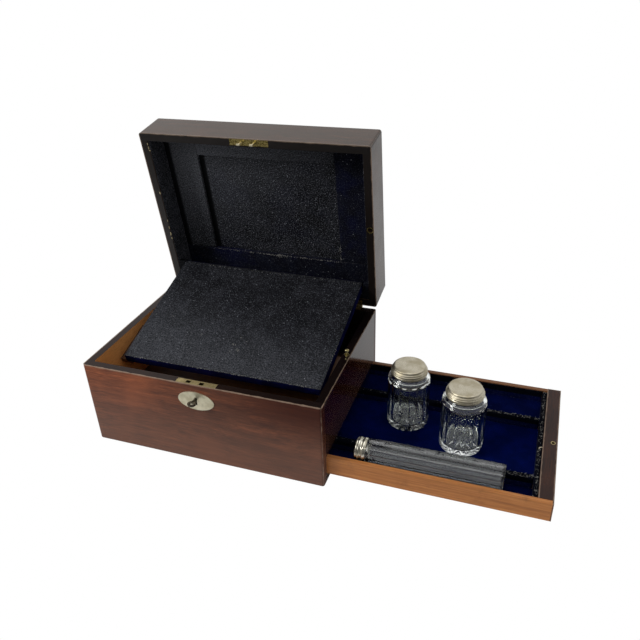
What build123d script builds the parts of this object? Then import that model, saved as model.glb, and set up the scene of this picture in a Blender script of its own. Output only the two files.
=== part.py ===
from build123d import *
import math
import os

# A rosewood writing box, standing open as it is used: the lid up against its stop, the writing
# flap let down from the lid into the base, the side drawer drawn out, and two jars and a tube
# standing in the drawer. Millimetres. X runs to the drawer's side, Y to the hinges, Z up, and the
# origin is the centre of the box's underside.

# Carcase
WIDTH = 305.0
DEPTH = 228.0
BASE_HEIGHT = 114.0
WALL = 10.2
CORNER_RADIUS = 3.2
FOOT_RADIUS = 2.8
BOTTOM_THICKNESS = 7.0
FLOOR_THICKNESS = 4.5
RUNNER_WIDTH = 12.0
RUNNER_HEIGHT = 5.9
SLIDE_GAP = 0.3
CUT_PAST = 1.0

# Lid
LID_HEIGHT = 51.4
LID_TOP_THICKNESS = 8.0
LID_TOP_RADIUS = 4.5
LID_SEAM = 0.3
LID_OPEN = 81.3

# Lining of the lid
LINING = 1.0
LINING_SETBACK = 1.2
PANEL_DEPTH = 34.0
PANEL_THICKNESS = 5.0
RAIL_PROUD = 0.8
RECESS_HALF_WIDTH = 95.0
RECESS_NEAR = 45.5
RECESS_FAR = 188.0

# Writing flap and its pivots
FLAP_LEFT_ROOM = 10.3
FLAP_RIGHT_ROOM = 7.3
FLAP_LENGTH = 184.0
FLAP_THICKNESS = 12.5
FLAP_CLOTH = 0.8
FLAP_PITCH = 16.5
FLAP_PIVOT_REACH = 31.36
FLAP_PIVOT_DEPTH = 3.6
PIVOT_RADIUS = 1.5
PIVOT_LENGTH = 13.0
PIVOT_IN_BLOCK = 5.0
PIVOT_FIT = 0.06
BLOCK_GAP = 0.6
BLOCK_WIDTH = 11.0
BLOCK_HEIGHT = 7.8
STRIP_THICKNESS = 7.0
STRIP_SETBACK = 0.4
RAIL_CLEARANCE = 0.6
LEDGE_WIDTH = 16.0
LEDGE_LENGTH = 60.0
LEDGE_HEIGHT = 6.5
LEDGE_SETBACK = 4.0
REST_GAP = 0.3

# Drawer
DRAWER_LENGTH = 290.0
DRAWER_HEIGHT = 24.2
DRAWER_SIDE_GAP = 0.5
DRAWER_HEAD_GAP = 0.5
DRAWER_OUT = 246.6
DRAWER_SIDE = 6.0
DRAWER_END = 16.0
DRAWER_VENEER = 1.5
DRAWER_INNER_END = 5.0
DRAWER_BOTTOM = 2.5
DRAWER_BOTTOM_RISE = 3.5
DRAWER_EDGE_RADIUS = 0.8
PAD = 1.0
END_PAD = 6.0
LINING_DROP = 0.9
DIVIDER_DROP = 3.4
FRONT_LANE = 28.8
FRONT_DIVIDER = 9.0
MIDDLE_LANE = 96.5
BACK_DIVIDER = 7.5

# Drawer pin, its bush and its socket in the lid
PIN_BACK = 4.0
PIN_STEM_RADIUS = 1.5
PIN_HEAD_RADIUS = 2.5
PIN_HEAD_HEIGHT = 2.8
PIN_NECK = 4.5
PIN_TRAVEL = PIN_NECK + PIN_HEAD_HEIGHT
PIN_FIT = 0.08
PIN_HEAD_FIT = 0.15
PIN_TIP_CLEAR = 0.4
BUSH_RADIUS = 3.7
BUSH_DEPTH = 9.0
COUNTERBORE_DEPTH = 4.4
PIN_HOLE_FIT = 0.5
EYELET_WALL = 0.7
SOCKET_RADIUS = 3.3
SOCKET_DEPTH = 7.0
RING_RADIUS = 4.2
RING_THICKNESS = 1.2

# Lock
LOCK_PLATE_LENGTH = 51.0
LOCK_PLATE_WIDTH = 8.0
LOCK_PLATE_THICKNESS = 1.2
LOCK_PLATE_INSET = 0.8
LOCK_CASE_WIDTH = 48.0
LOCK_CASE_DROP = 30.0
LOCK_SKIN = 2.4
LOCK_WALL = 0.8
BOLT_THICKNESS = 2.0
BOLT_PLAY = 0.3
BOLT_THROW = 3.0
BOLT_BAR_DROP = 14.0
BOLT_BAR_HEIGHT = 4.5
BOLT_FINGER_HEIGHT = 2.0
BOLT_POST = 2.0
BOLT_TAIL = 16.0
TALON_WIDTH = 8.0
TALON_DEPTH = 2.1
TALON_LEAD = 6.6
GUIDE_HEIGHT = 4.5
GUIDE_WIDTH = 5.0
GUIDE_OUT = 15.5
HOOK_LEFT = -9.5
HOOK_RIGHT = 7.5
HOOK_LENGTH = 8.0
HOOK_STEM = 2.4
HOOK_TOE = 2.0
HOOK_TOE_HEIGHT = 2.0
HOOK_THICKNESS = 1.8
HOOK_PLAY = 0.6
HOOK_SLOT_PLAY = 1.4
FINGER_OVER_TOE = 0.4
FINGER_GAP = 0.2

# Key and escutcheon
KEY_X = -1.0
KEY_DROP = 19.5
KEY_SHANK_RADIUS = 1.9
KEY_FIT = 0.3
KEY_BIT_LENGTH = 7.0
KEY_BIT_THICKNESS = 2.0
KEY_BIT_WIDTH = 3.6
KEY_SHANK_OUT = 7.0
KEY_BOW_WIDTH = 10.0
KEY_BOW_LENGTH = 9.0
KEY_BOW_THICKNESS = 2.2
KEY_BOW_RIM = 2.4
KEY_REST_TURN = 90.0
KEYHOLE_SLOT = 3.0
KEYHOLE_MARGIN = 1.2
ESCUTCHEON_WIDTH = 46.0
ESCUTCHEON_HEIGHT = 25.0
ESCUTCHEON_THICKNESS = 0.8
ESCUTCHEON_DROP = 22.0

# Hinges
HINGE_WIDTH = 36.0
HINGE_FROM_END = 20.0
HINGE_LEAF_WIDTH = 8.0
HINGE_LEAF = 1.0
KNUCKLE_RADIUS = 1.75
KNUCKLE_CLEAR = 0.2
HINGE_PIN_RADIUS = 0.9
HINGE_PIN_FIT = 0.05
KNUCKLE_SHARE = 12.0
KNUCKLE_GAP = 0.2
SCREW_HEAD_RADIUS = 1.7
SCREW_SHANK_RADIUS = 0.8
SCREW_LENGTH = 6.0
SCREW_SPACING = 22.0
SCREW_SET = 4.2

# Jars, tube and their caps
JAR_RADIUS = 26.0
JAR_PANELS = 12
JAR_PANEL_CUT = 0.5
JAR_BODY_HEIGHT = 66.0
JAR_SHOULDER = 5.0
JAR_NECK_RADIUS = 18.4
JAR_NECK_HEIGHT = 10.0
JAR_WALL = 3.4
JAR_FLOOR = 6.0
JAR_HEEL = 3.0
JAR_MOUTH_RADIUS = 15.4
CAP_RADIUS = 22.0
CAP_HEIGHT = 11.0
CAP_TOP = 1.2
CAP_ROUND = 1.6
CAP_BEAD = 0.5
CAP_BEAD_HEIGHT = 1.6
CAP_FIT = 0.3
SEAT = 0.3
JAR_1_X = 220.8
JAR_1_Y = 11.7
JAR_2_X = 291.2
JAR_2_Y = -14.6
TUBE_RADIUS = 15.0
TUBE_PANELS = 16
TUBE_PANEL_CUT = 0.3
TUBE_LENGTH = 152.0
TUBE_WALL = 3.0
TUBE_END = 7.0
TUBE_HEEL = 1.5
TUBE_NECK_RADIUS = 11.6
TUBE_NECK_LENGTH = 13.0
TUBE_MOUTH_RADIUS = 9.2
TUBE_RIGHT = 347.6
TUBE_CAP_RADIUS = 14.6
TUBE_CAP_LENGTH = 13.5
TUBE_CAP_TOP = 1.0
TUBE_CAP_ROUND = 1.2

# Places worked out from the sizes above
HALF_WIDTH = WIDTH / 2
HALF_DEPTH = DEPTH / 2
INNER_X = HALF_WIDTH - WALL
INNER_Y = HALF_DEPTH - WALL
HINGE_Y = HALF_DEPTH + KNUCKLE_RADIUS + KNUCKLE_CLEAR
HINGE_Z = BASE_HEIGHT + LID_SEAM / 2
DRAWER_LOW = BOTTOM_THICKNESS + RUNNER_HEIGHT + SLIDE_GAP
DRAWER_TOP = DRAWER_LOW + DRAWER_HEIGHT
RUNNER_TOP = DRAWER_LOW - SLIDE_GAP
OPENING_TOP = DRAWER_TOP + DRAWER_HEAD_GAP
FLOOR_TOP = OPENING_TOP + FLOOR_THICKNESS
DRAWER_HALF = INNER_Y - DRAWER_SIDE_GAP
LID_UNDER = BASE_HEIGHT + LID_HEIGHT - LID_TOP_THICKNESS
LID_RIM = BASE_HEIGHT + LID_SEAM
PANEL_Z = BASE_HEIGHT + PANEL_DEPTH
PIN_X = HALF_WIDTH - WALL / 2
PIN_Y = -PIN_BACK
KEY_Z = BASE_HEIGHT - KEY_DROP
LOCK_LOW = BASE_HEIGHT - LOCK_CASE_DROP
CASE_FRONT = -HALF_DEPTH + LOCK_SKIN
BOLT_FRONT = CASE_FRONT + LOCK_WALL + BOLT_PLAY
BOLT_BACK = BOLT_FRONT + BOLT_THICKNESS
HOOK_FRONT = BOLT_FRONT + (BOLT_THICKNESS - HOOK_THICKNESS) / 2
BAR_LOW = BASE_HEIGHT - BOLT_BAR_DROP
PLATE_FRONT = -HALF_DEPTH + LOCK_PLATE_INSET
DRAWER_FACE = HALF_WIDTH + DRAWER_OUT
DRAWER_INNER = DRAWER_FACE - DRAWER_LENGTH
END_INNER = DRAWER_FACE - DRAWER_END
PAD_LOW = DRAWER_LOW + DRAWER_BOTTOM_RISE + DRAWER_BOTTOM
PAD_TOP = PAD_LOW + PAD
DIVIDER_TOP = DRAWER_TOP - DIVIDER_DROP
FRONT_LANE_START = -DRAWER_HALF + DRAWER_SIDE + LINING
FRONT_DIVIDER_START = FRONT_LANE_START + FRONT_LANE
MIDDLE_LANE_START = FRONT_DIVIDER_START + FRONT_DIVIDER
BACK_DIVIDER_START = MIDDLE_LANE_START + MIDDLE_LANE
BACK_LANE_START = BACK_DIVIDER_START + BACK_DIVIDER
BACK_LANE_END = DRAWER_HALF - DRAWER_SIDE - LINING


def block(x0, x1, y0, y1, z0, z1):
    """A plain board between two corners."""
    size = Box(x1 - x0, y1 - y0, z1 - z0)
    return Pos((x0 + x1) / 2, (y0 + y1) / 2, (z0 + z1) / 2) * size


def rod(x, y, z0, z1, radius):
    """An upright cylinder."""
    return Pos(x, y, (z0 + z1) / 2) * Cylinder(radius, z1 - z0)


def rod_x(x0, x1, y, z, radius):
    """A cylinder along X."""
    return Pos((x0 + x1) / 2, y, z) * Rot(0, 90, 0) * Cylinder(radius, x1 - x0)


def rod_y(x, y0, y1, z, radius):
    """A cylinder along Y."""
    return Pos(x, (y0 + y1) / 2, z) * Rot(90, 0, 0) * Cylinder(radius, y1 - y0)


def turned(points):
    """A turned piece: the half outline in radius and height, spun round the Z axis."""
    outline = make_face(Polyline([(r, 0, z) for r, z in points], close=True))
    return revolve(outline, Axis.Z, 360)


def open_lid(piece):
    """Turn a piece built on the closed lid up to where the lid stands open."""
    return piece.rotate(Axis((0, HINGE_Y, HINGE_Z), (1, 0, 0)), -LID_OPEN)


def pivot_place():
    """The flap's pivot on the open lid, as Y and Z."""
    turn = math.radians(LID_OPEN)
    y = HINGE_Y - FLAP_PIVOT_REACH * math.cos(turn) + FLAP_PIVOT_DEPTH * math.sin(turn)
    z = HINGE_Z + FLAP_PIVOT_REACH * math.sin(turn) + FLAP_PIVOT_DEPTH * math.cos(turn)
    return y, z


def keyhole(y0, y1):
    """The hole that the key goes through: a round eye over a slot."""
    eye = rod_y(KEY_X, y0, y1, KEY_Z, KEY_SHANK_RADIUS + KEY_FIT)
    low = KEY_Z - KEY_BIT_LENGTH - KEYHOLE_MARGIN
    return eye + block(KEY_X - KEYHOLE_SLOT / 2, KEY_X + KEYHOLE_SLOT / 2, y0, y1, low, KEY_Z)


def hinge_starts():
    """The lower X of each hinge."""
    return {"left": -HALF_WIDTH + HINGE_FROM_END, "right": HALF_WIDTH - HINGE_FROM_END - HINGE_WIDTH}


def screw_at(x, y, z, up):
    """A countersunk screw whose head is flush at z; its shank goes down, or up into the lid."""
    sink = SCREW_HEAD_RADIUS - SCREW_SHANK_RADIUS
    points = [(0, 0), (SCREW_HEAD_RADIUS, 0), (SCREW_SHANK_RADIUS, -sink)]
    points += [(SCREW_SHANK_RADIUS, -SCREW_LENGTH), (0, -SCREW_LENGTH)]
    piece = turned(points)
    return Pos(x, y, z) * (Rot(180, 0, 0) * piece if up else piece)


def hinge_screws(z, up):
    """The screws of both hinges' leaves on one side of the seam."""
    screws = []
    for start in hinge_starts().values():
        middle = start + HINGE_WIDTH / 2
        for side in (-1, 1):
            screws.append(screw_at(middle + side * SCREW_SPACING / 2, HALF_DEPTH - SCREW_SET, z, up))
    return screws


def leaf_plate(start, z0, z1):
    """The flat of a hinge leaf, let into the rim."""
    return block(start, start + HINGE_WIDTH, HALF_DEPTH - HINGE_LEAF_WIDTH, HALF_DEPTH, z0, z1)


def knuckle(x0, x1, z0, z1):
    """One knuckle of a hinge with the tab that joins it to its leaf, bored for the pin."""
    barrel = rod_x(x0, x1, HINGE_Y, HINGE_Z, KNUCKLE_RADIUS)
    tab = block(x0, x1, HALF_DEPTH, HINGE_Y, z0, z1)
    bore = rod_x(x0 - CUT_PAST, x1 + CUT_PAST, HINGE_Y, HINGE_Z, HINGE_PIN_RADIUS + HINGE_PIN_FIT)
    return barrel + tab - bore


def hinge_leaf_base(start):
    """The leaf let into the back board, with the two outer knuckles."""
    z0, z1 = BASE_HEIGHT - HINGE_LEAF, BASE_HEIGHT
    end = start + HINGE_WIDTH
    leaf = leaf_plate(start, z0, z1)
    leaf += knuckle(start, start + KNUCKLE_SHARE - KNUCKLE_GAP, z0, z1)
    leaf += knuckle(end - KNUCKLE_SHARE + KNUCKLE_GAP, end, z0, z1)
    for screw in hinge_screws(BASE_HEIGHT, False):
        leaf -= screw
    return leaf


def hinge_leaf_lid(start):
    """The leaf let into the lid's back rail, with the middle knuckle."""
    z0, z1 = LID_RIM, LID_RIM + HINGE_LEAF
    leaf = leaf_plate(start, z0, z1)
    leaf += knuckle(start + KNUCKLE_SHARE, start + HINGE_WIDTH - KNUCKLE_SHARE, z0, z1)
    for screw in hinge_screws(LID_RIM, True):
        leaf -= screw
    return leaf


def hinge_pins():
    """The pins of the two hinges."""
    pins = [rod_x(start, start + HINGE_WIDTH, HINGE_Y, HINGE_Z, HINGE_PIN_RADIUS)
            for start in hinge_starts().values()]
    return pins[0] + pins[1]


def long_board(front, z0, z1):
    """The front or back board of the base, the full width of the box, with eased outer corners."""
    y0, y1 = (-HALF_DEPTH, -INNER_Y) if front else (INNER_Y, HALF_DEPTH)
    board = block(-HALF_WIDTH, HALF_WIDTH, y0, y1, z0, z1)
    face_y = -HALF_DEPTH if front else HALF_DEPTH
    upright = [e for e in board.edges().filter_by(Axis.Z) if abs(e.center().Y - face_y) < WALL / 2]
    return fillet(upright, CORNER_RADIUS)


def eased_foot(board, inner_y):
    """Ease the foot of a long board along its face and round its two ends."""
    foot = [e for e in board.edges() if e.bounding_box().max.Z < SLIDE_GAP
            and abs(e.center().Y - inner_y) > SLIDE_GAP]
    return fillet(foot, FOOT_RADIUS)


def front_board():
    """The front board, cut for the lock, its plate and the key."""
    board = eased_foot(long_board(True, 0, BASE_HEIGHT), -INNER_Y)
    half = LOCK_CASE_WIDTH / 2
    plate_low = BASE_HEIGHT - LOCK_PLATE_THICKNESS
    board -= block(-half, half, CASE_FRONT, -INNER_Y, LOCK_LOW, plate_low)
    board -= plate_shape(plate_low, BASE_HEIGHT)
    return board - keyhole(-HALF_DEPTH - WALL, CASE_FRONT)


def back_board():
    """The back board, with the beds of the hinge leaves and their screw holes."""
    board = eased_foot(long_board(False, 0, BASE_HEIGHT), INNER_Y)
    for start in hinge_starts().values():
        board -= leaf_plate(start, BASE_HEIGHT - HINGE_LEAF, BASE_HEIGHT)
    for screw in hinge_screws(BASE_HEIGHT, False):
        board -= screw
    return board


def left_board():
    """The left end of the base."""
    board = block(-HALF_WIDTH, -INNER_X, -INNER_Y, INNER_Y, 0, BASE_HEIGHT)
    foot = [e for e in board.edges().filter_by(Axis.Y)
            if e.center().Z < FOOT_RADIUS and e.center().X < -INNER_X - WALL / 2]
    return fillet(foot, FOOT_RADIUS)


def right_board():
    """The right end of the base above the drawer, bored for the drawer pin's bush and stem."""
    board = block(INNER_X, HALF_WIDTH, -INNER_Y, INNER_Y, OPENING_TOP, BASE_HEIGHT)
    board -= rod(PIN_X, PIN_Y, BASE_HEIGHT - BUSH_DEPTH, BASE_HEIGHT, BUSH_RADIUS)
    return board - rod(PIN_X, PIN_Y, 0, BASE_HEIGHT, PIN_STEM_RADIUS + PIN_HOLE_FIT)


def drawer_sill():
    """The strip of the right end below the drawer."""
    sill = block(INNER_X, HALF_WIDTH, -INNER_Y, INNER_Y, 0, RUNNER_TOP)
    foot = [e for e in sill.edges().filter_by(Axis.Y)
            if e.center().Z < FOOT_RADIUS and e.center().X > INNER_X + WALL / 2]
    return fillet(foot, FOOT_RADIUS)


def bottom_board():
    """The bottom of the box, between the four ends."""
    return block(-INNER_X, INNER_X, -INNER_Y, INNER_Y, 0, BOTTOM_THICKNESS)


def drawer_runners():
    """The two strips that the drawer slides on."""
    strips = [block(-INNER_X, INNER_X, y, y + RUNNER_WIDTH, BOTTOM_THICKNESS, RUNNER_TOP)
              for y in (-INNER_Y, INNER_Y - RUNNER_WIDTH)]
    return strips[0] + strips[1]


def compartment_floor():
    """The board over the drawer, which is the floor of the compartment for papers."""
    return block(-INNER_X, INNER_X, -INNER_Y, INNER_Y, OPENING_TOP, FLOOR_TOP)


def slope_ledges():
    """The two sloping strips on the end boards that carry the flap under its front corners."""
    top = -FLAP_THICKNESS / 2 - REST_GAP
    low = top - LEDGE_HEIGHT
    y0 = -FLAP_LENGTH + LEDGE_SETBACK
    left = block(-INNER_X, -INNER_X + LEDGE_WIDTH, y0, y0 + LEDGE_LENGTH, low, top)
    right = block(INNER_X - LEDGE_WIDTH, INNER_X, y0, y0 + LEDGE_LENGTH, low, top)
    return lower_flap(left + right)


def plate_shape(z0, z1):
    """The outline that the plates of the lock share."""
    half = LOCK_PLATE_LENGTH / 2
    return block(-half, half, PLATE_FRONT, PLATE_FRONT + LOCK_PLATE_WIDTH, z0, z1)


def lock_plate():
    """The plate on the front rim, with a slot for each hook of the lid's plate."""
    plate = plate_shape(BASE_HEIGHT - LOCK_PLATE_THICKNESS, BASE_HEIGHT)
    y0 = HOOK_FRONT - HOOK_SLOT_PLAY
    y1 = HOOK_FRONT + HOOK_THICKNESS + HOOK_SLOT_PLAY
    for x in (HOOK_LEFT, HOOK_RIGHT):
        x0 = x - HOOK_STEM / 2 - HOOK_TOE - HOOK_PLAY
        x1 = x + HOOK_STEM / 2 + HOOK_PLAY
        plate -= block(x0, x1, y0, y1, LOCK_LOW, BASE_HEIGHT)
    return plate


def lock_case():
    """The lock's case in the front board: open under the plate, with two guides for the bolt."""
    half = LOCK_CASE_WIDTH / 2
    top = BASE_HEIGHT - LOCK_PLATE_THICKNESS
    case = block(-half, half, CASE_FRONT, -INNER_Y, LOCK_LOW, top)
    room = half - LOCK_WALL
    case -= block(-room, room, CASE_FRONT + LOCK_WALL, -INNER_Y - LOCK_WALL, LOCK_LOW + LOCK_WALL, top)
    guide_top = BAR_LOW - BOLT_PLAY
    for side in (-1, 1):
        middle = KEY_X + side * GUIDE_OUT
        x0, x1 = middle - GUIDE_WIDTH / 2, middle + GUIDE_WIDTH / 2
        case += block(x0, x1, CASE_FRONT, -INNER_Y, guide_top - GUIDE_HEIGHT, guide_top)
    return case - keyhole(CASE_FRONT - LOCK_WALL, CASE_FRONT + LOCK_WALL)


def lock_bolt():
    """The bolt, drawn back: a bar with two fingers that slide over the hooks' toes."""
    toe_top = BASE_HEIGHT - HOOK_LENGTH + HOOK_TOE_HEIGHT
    finger_low = toe_top + FINGER_OVER_TOE
    bar_top = BAR_LOW + BOLT_BAR_HEIGHT
    shapes = []
    posts = []
    for x in (HOOK_LEFT, HOOK_RIGHT):
        tip = x - HOOK_STEM / 2 - FINGER_GAP - BOLT_THROW
        post = tip - HOOK_TOE - BOLT_THROW - BOLT_POST
        posts.append(post)
        shapes.append(block(post, post + BOLT_POST, BOLT_FRONT, BOLT_BACK, BAR_LOW,
                            finger_low + BOLT_FINGER_HEIGHT))
        shapes.append(block(post, tip, BOLT_FRONT, BOLT_BACK, finger_low,
                            finger_low + BOLT_FINGER_HEIGHT))
    bar_end = BOLT_TAIL - BOLT_THROW
    bolt = block(min(posts), bar_end, BOLT_FRONT, BOLT_BACK, BAR_LOW, bar_top)
    for shape in shapes:
        bolt += shape
    start = KEY_X - TALON_LEAD - BOLT_THROW
    return bolt - block(start, start + TALON_WIDTH, BOLT_FRONT - CUT_PAST, BOLT_BACK + CUT_PAST,
                        BAR_LOW - CUT_PAST, BAR_LOW + TALON_DEPTH)


def hook_plate():
    """The lid's lock plate with its two hooks, on the closed lid."""
    plate = plate_shape(LID_RIM, LID_RIM + LOCK_PLATE_THICKNESS)
    y0, y1 = HOOK_FRONT, HOOK_FRONT + HOOK_THICKNESS
    low = BASE_HEIGHT - HOOK_LENGTH
    for x in (HOOK_LEFT, HOOK_RIGHT):
        left, right = x - HOOK_STEM / 2, x + HOOK_STEM / 2
        plate += block(left, right, y0, y1, low, LID_RIM)
        plate += block(left - HOOK_TOE, left, y0, y1, low, low + HOOK_TOE_HEIGHT)
    return open_lid(plate)


def escutcheon():
    """The oval plate round the keyhole."""
    face = Plane((0, -HALF_DEPTH, BASE_HEIGHT - ESCUTCHEON_DROP), x_dir=(1, 0, 0), z_dir=(0, -1, 0))
    oval = Pos(KEY_X, 0) * Ellipse(ESCUTCHEON_WIDTH / 2, ESCUTCHEON_HEIGHT / 2)
    plate = extrude(face * oval, ESCUTCHEON_THICKNESS)
    return plate - keyhole(-HALF_DEPTH - 2 * ESCUTCHEON_THICKNESS, -HALF_DEPTH)


def key():
    """The key in the lock: shank, bit and a thin oval bow, turned so that both lie flat."""
    inner = -INNER_Y - LOCK_WALL - BOLT_PLAY
    outer = -HALF_DEPTH - KEY_SHANK_OUT
    shank = rod_y(KEY_X, outer, inner, KEY_Z, KEY_SHANK_RADIUS)
    half = KEY_BIT_THICKNESS / 2
    bit_front = BOLT_FRONT - BOLT_PLAY / 2
    bit = block(KEY_X - half, KEY_X + half, bit_front, bit_front + KEY_BIT_WIDTH,
                KEY_Z - KEY_BIT_LENGTH, KEY_Z)
    side = Plane((KEY_X - KEY_BOW_THICKNESS / 2, outer - KEY_BOW_LENGTH / 2 + KEY_BOW_RIM / 2, KEY_Z),
                 x_dir=(0, 1, 0), z_dir=(1, 0, 0))
    ring = Ellipse(KEY_BOW_LENGTH / 2, KEY_BOW_WIDTH / 2)
    ring -= Ellipse(KEY_BOW_LENGTH / 2 - KEY_BOW_RIM, KEY_BOW_WIDTH / 2 - KEY_BOW_RIM)
    upright = shank + bit + extrude(side * ring, KEY_BOW_THICKNESS)
    return Pos(KEY_X, 0, KEY_Z) * Rot(0, KEY_REST_TURN, 0) * Pos(-KEY_X, 0, -KEY_Z) * upright


def pin_bush():
    """The brass tube in the right rim that guides the drawer pin and takes its head."""
    low = BASE_HEIGHT - BUSH_DEPTH
    bush = rod(PIN_X, PIN_Y, low, BASE_HEIGHT, BUSH_RADIUS)
    bush -= rod(PIN_X, PIN_Y, BASE_HEIGHT - COUNTERBORE_DEPTH, BASE_HEIGHT,
                PIN_HEAD_RADIUS + PIN_HEAD_FIT)
    return bush - rod(PIN_X, PIN_Y, low, BASE_HEIGHT, PIN_STEM_RADIUS + PIN_FIT)


def drawer_pin():
    """The pin that locks the drawer, raised: a round head on a stem that ends over the drawer."""
    head_low = BASE_HEIGHT + PIN_NECK
    head = rod(PIN_X, PIN_Y, head_low, head_low + PIN_HEAD_HEIGHT, PIN_HEAD_RADIUS)
    rim = head.edges().filter_by(GeomType.CIRCLE).sort_by(Axis.Z)[-1]
    head = fillet(rim, PIN_HEAD_HEIGHT / 2)
    return head + rod(PIN_X, PIN_Y, DRAWER_TOP + PIN_TIP_CLEAR, head_low, PIN_STEM_RADIUS)


def lid_top():
    """The top of the lid with its rounded arris."""
    top = block(-HALF_WIDTH, HALF_WIDTH, -HALF_DEPTH, HALF_DEPTH, LID_UNDER, LID_UNDER + LID_TOP_THICKNESS)
    top = fillet(top.edges().filter_by(Axis.Z), CORNER_RADIUS)
    top = fillet(top.faces().sort_by(Axis.Z)[-1].edges(), LID_TOP_RADIUS)
    return open_lid(top)


def lid_front_rail():
    """The front of the lid, with the bed of the lock's plate."""
    rail = long_board(True, LID_RIM, LID_UNDER)
    return open_lid(rail - plate_shape(LID_RIM, LID_RIM + LOCK_PLATE_THICKNESS))


def lid_back_rail():
    """The back of the lid, with the beds of the hinge leaves."""
    rail = long_board(False, LID_RIM, LID_UNDER)
    for start in hinge_starts().values():
        rail -= leaf_plate(start, LID_RIM, LID_RIM + HINGE_LEAF)
    for screw in hinge_screws(LID_RIM, True):
        rail -= screw
    return open_lid(rail)


def lid_left_rail():
    """The left end of the lid."""
    return open_lid(block(-HALF_WIDTH, -INNER_X, -INNER_Y, INNER_Y, LID_RIM, LID_UNDER))


def lid_right_rail():
    """The right end of the lid, bored for the head of the drawer pin."""
    rail = block(INNER_X, HALF_WIDTH, -INNER_Y, INNER_Y, LID_RIM, LID_UNDER)
    rail -= rod(PIN_X, PIN_Y, LID_RIM, LID_RIM + SOCKET_DEPTH, SOCKET_RADIUS)
    rail -= rod(PIN_X, PIN_Y, LID_RIM, LID_RIM + RING_THICKNESS, RING_RADIUS)
    return open_lid(rail)


def socket_ring():
    """The brass ring round the socket in the lid's right rim."""
    ring = rod(PIN_X, PIN_Y, LID_RIM, LID_RIM + RING_THICKNESS, RING_RADIUS)
    return open_lid(ring - rod(PIN_X, PIN_Y, LID_RIM, LID_RIM + RING_THICKNESS, SOCKET_RADIUS))


def lid_recess_panel():
    """The cloth-covered panel at the back of the lid's recess."""
    return open_lid(block(-INNER_X, INNER_X, -INNER_Y, INNER_Y, PANEL_Z + PANEL_THICKNESS, LID_UNDER))


def lid_frame(name):
    """One side of the cloth-covered frame round the recess: left, right, top or bottom."""
    z0, z1 = PANEL_Z, PANEL_Z + PANEL_THICKNESS
    near, far = HINGE_Y - RECESS_NEAR, HINGE_Y - RECESS_FAR
    if name == "bottom":
        return open_lid(block(-INNER_X, INNER_X, near, INNER_Y, z0 - RAIL_PROUD, z1))
    if name == "top":
        return open_lid(block(-RECESS_HALF_WIDTH, RECESS_HALF_WIDTH, -INNER_Y, far, z0, z1))
    side = block(RECESS_HALF_WIDTH, INNER_X, -INNER_Y, near, z0, z1)
    return open_lid(side if name == "right" else mirror(side, Plane.YZ))


def lid_wall_lining():
    """The cloth-covered card on the four inner walls of the lid."""
    z0 = LID_RIM + LINING_SETBACK
    z1 = PANEL_Z
    room_x, room_y = INNER_X - LINING, INNER_Y - LINING
    cards = [
        block(-INNER_X, -room_x, -INNER_Y, HINGE_Y - RECESS_NEAR, z0, z1),
        block(room_x, INNER_X, -INNER_Y, HINGE_Y - RECESS_NEAR, z0, z1),
        block(-INNER_X, -room_x, HINGE_Y - RECESS_NEAR, INNER_Y, z0, z1 - RAIL_PROUD),
        block(room_x, INNER_X, HINGE_Y - RECESS_NEAR, INNER_Y, z0, z1 - RAIL_PROUD),
        block(-room_x, room_x, -INNER_Y, -room_y, z0, z1),
        block(-room_x, room_x, room_y, INNER_Y, z0, z1 - RAIL_PROUD),
    ]
    lining = cards[0] + cards[2] + cards[1] + cards[3] + cards[4] + cards[5]
    return open_lid(lining)


def flap_edges():
    """The lower and upper X of the flap."""
    room_x = INNER_X - LINING
    return -room_x + FLAP_LEFT_ROOM, room_x - FLAP_RIGHT_ROOM


def flap_ledge():
    """The fixed strip in the lid behind the flap's back edge."""
    z0 = LID_RIM + STRIP_SETBACK
    front = HINGE_Y - FLAP_PIVOT_REACH + FLAP_THICKNESS / 2 + 2 * RAIL_CLEARANCE
    room_x = INNER_X - LINING
    return open_lid(block(-room_x, room_x, front, INNER_Y - LINING, z0, z0 + STRIP_THICKNESS))


def flap_pivot_blocks():
    """The blocks at the flap's back corners that its pivots turn in."""
    low_x, high_x = flap_edges()
    pivot_y = HINGE_Y - FLAP_PIVOT_REACH
    pivot_z = HINGE_Z + FLAP_PIVOT_DEPTH
    z0 = LID_RIM + STRIP_SETBACK
    y0 = pivot_y - BLOCK_WIDTH / 2
    y1 = pivot_y + FLAP_THICKNESS / 2 + 2 * RAIL_CLEARANCE
    room_x = INNER_X - LINING
    blocks = block(-room_x, low_x - BLOCK_GAP, y0, y1, z0, z0 + BLOCK_HEIGHT)
    blocks += block(high_x + BLOCK_GAP, room_x, y0, y1, z0, z0 + BLOCK_HEIGHT)
    reach = BLOCK_GAP + PIVOT_IN_BLOCK + PIVOT_FIT
    blocks -= rod_x(low_x - reach, low_x, pivot_y, pivot_z, PIVOT_RADIUS + PIVOT_FIT)
    blocks -= rod_x(high_x, high_x + reach, pivot_y, pivot_z, PIVOT_RADIUS + PIVOT_FIT)
    return open_lid(blocks)


def lower_flap(piece):
    """Set a piece of the flap, built level along -Y from a pivot at the origin, where it hangs."""
    y, z = pivot_place()
    return Pos(0, y, z) * Rot(FLAP_PITCH, 0, 0) * piece


def flap_holes():
    """The bores in the flap's ends for its pivots."""
    low_x, high_x = flap_edges()
    depth = PIVOT_LENGTH - PIVOT_IN_BLOCK
    left = rod_x(low_x, low_x + depth, 0, 0, PIVOT_RADIUS)
    right = rod_x(high_x - depth, high_x, 0, 0, PIVOT_RADIUS)
    return [left, right]


def flap_outline(x0, x1, front, z0, z1):
    """A flap layer with its back edge rounded round the pivot."""
    half = FLAP_THICKNESS / 2
    layer = block(x0, x1, -front, 0, z0, z1)
    return layer + (rod_x(x0, x1, 0, 0, half) & block(x0, x1, -half, half, z0, z1))


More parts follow.
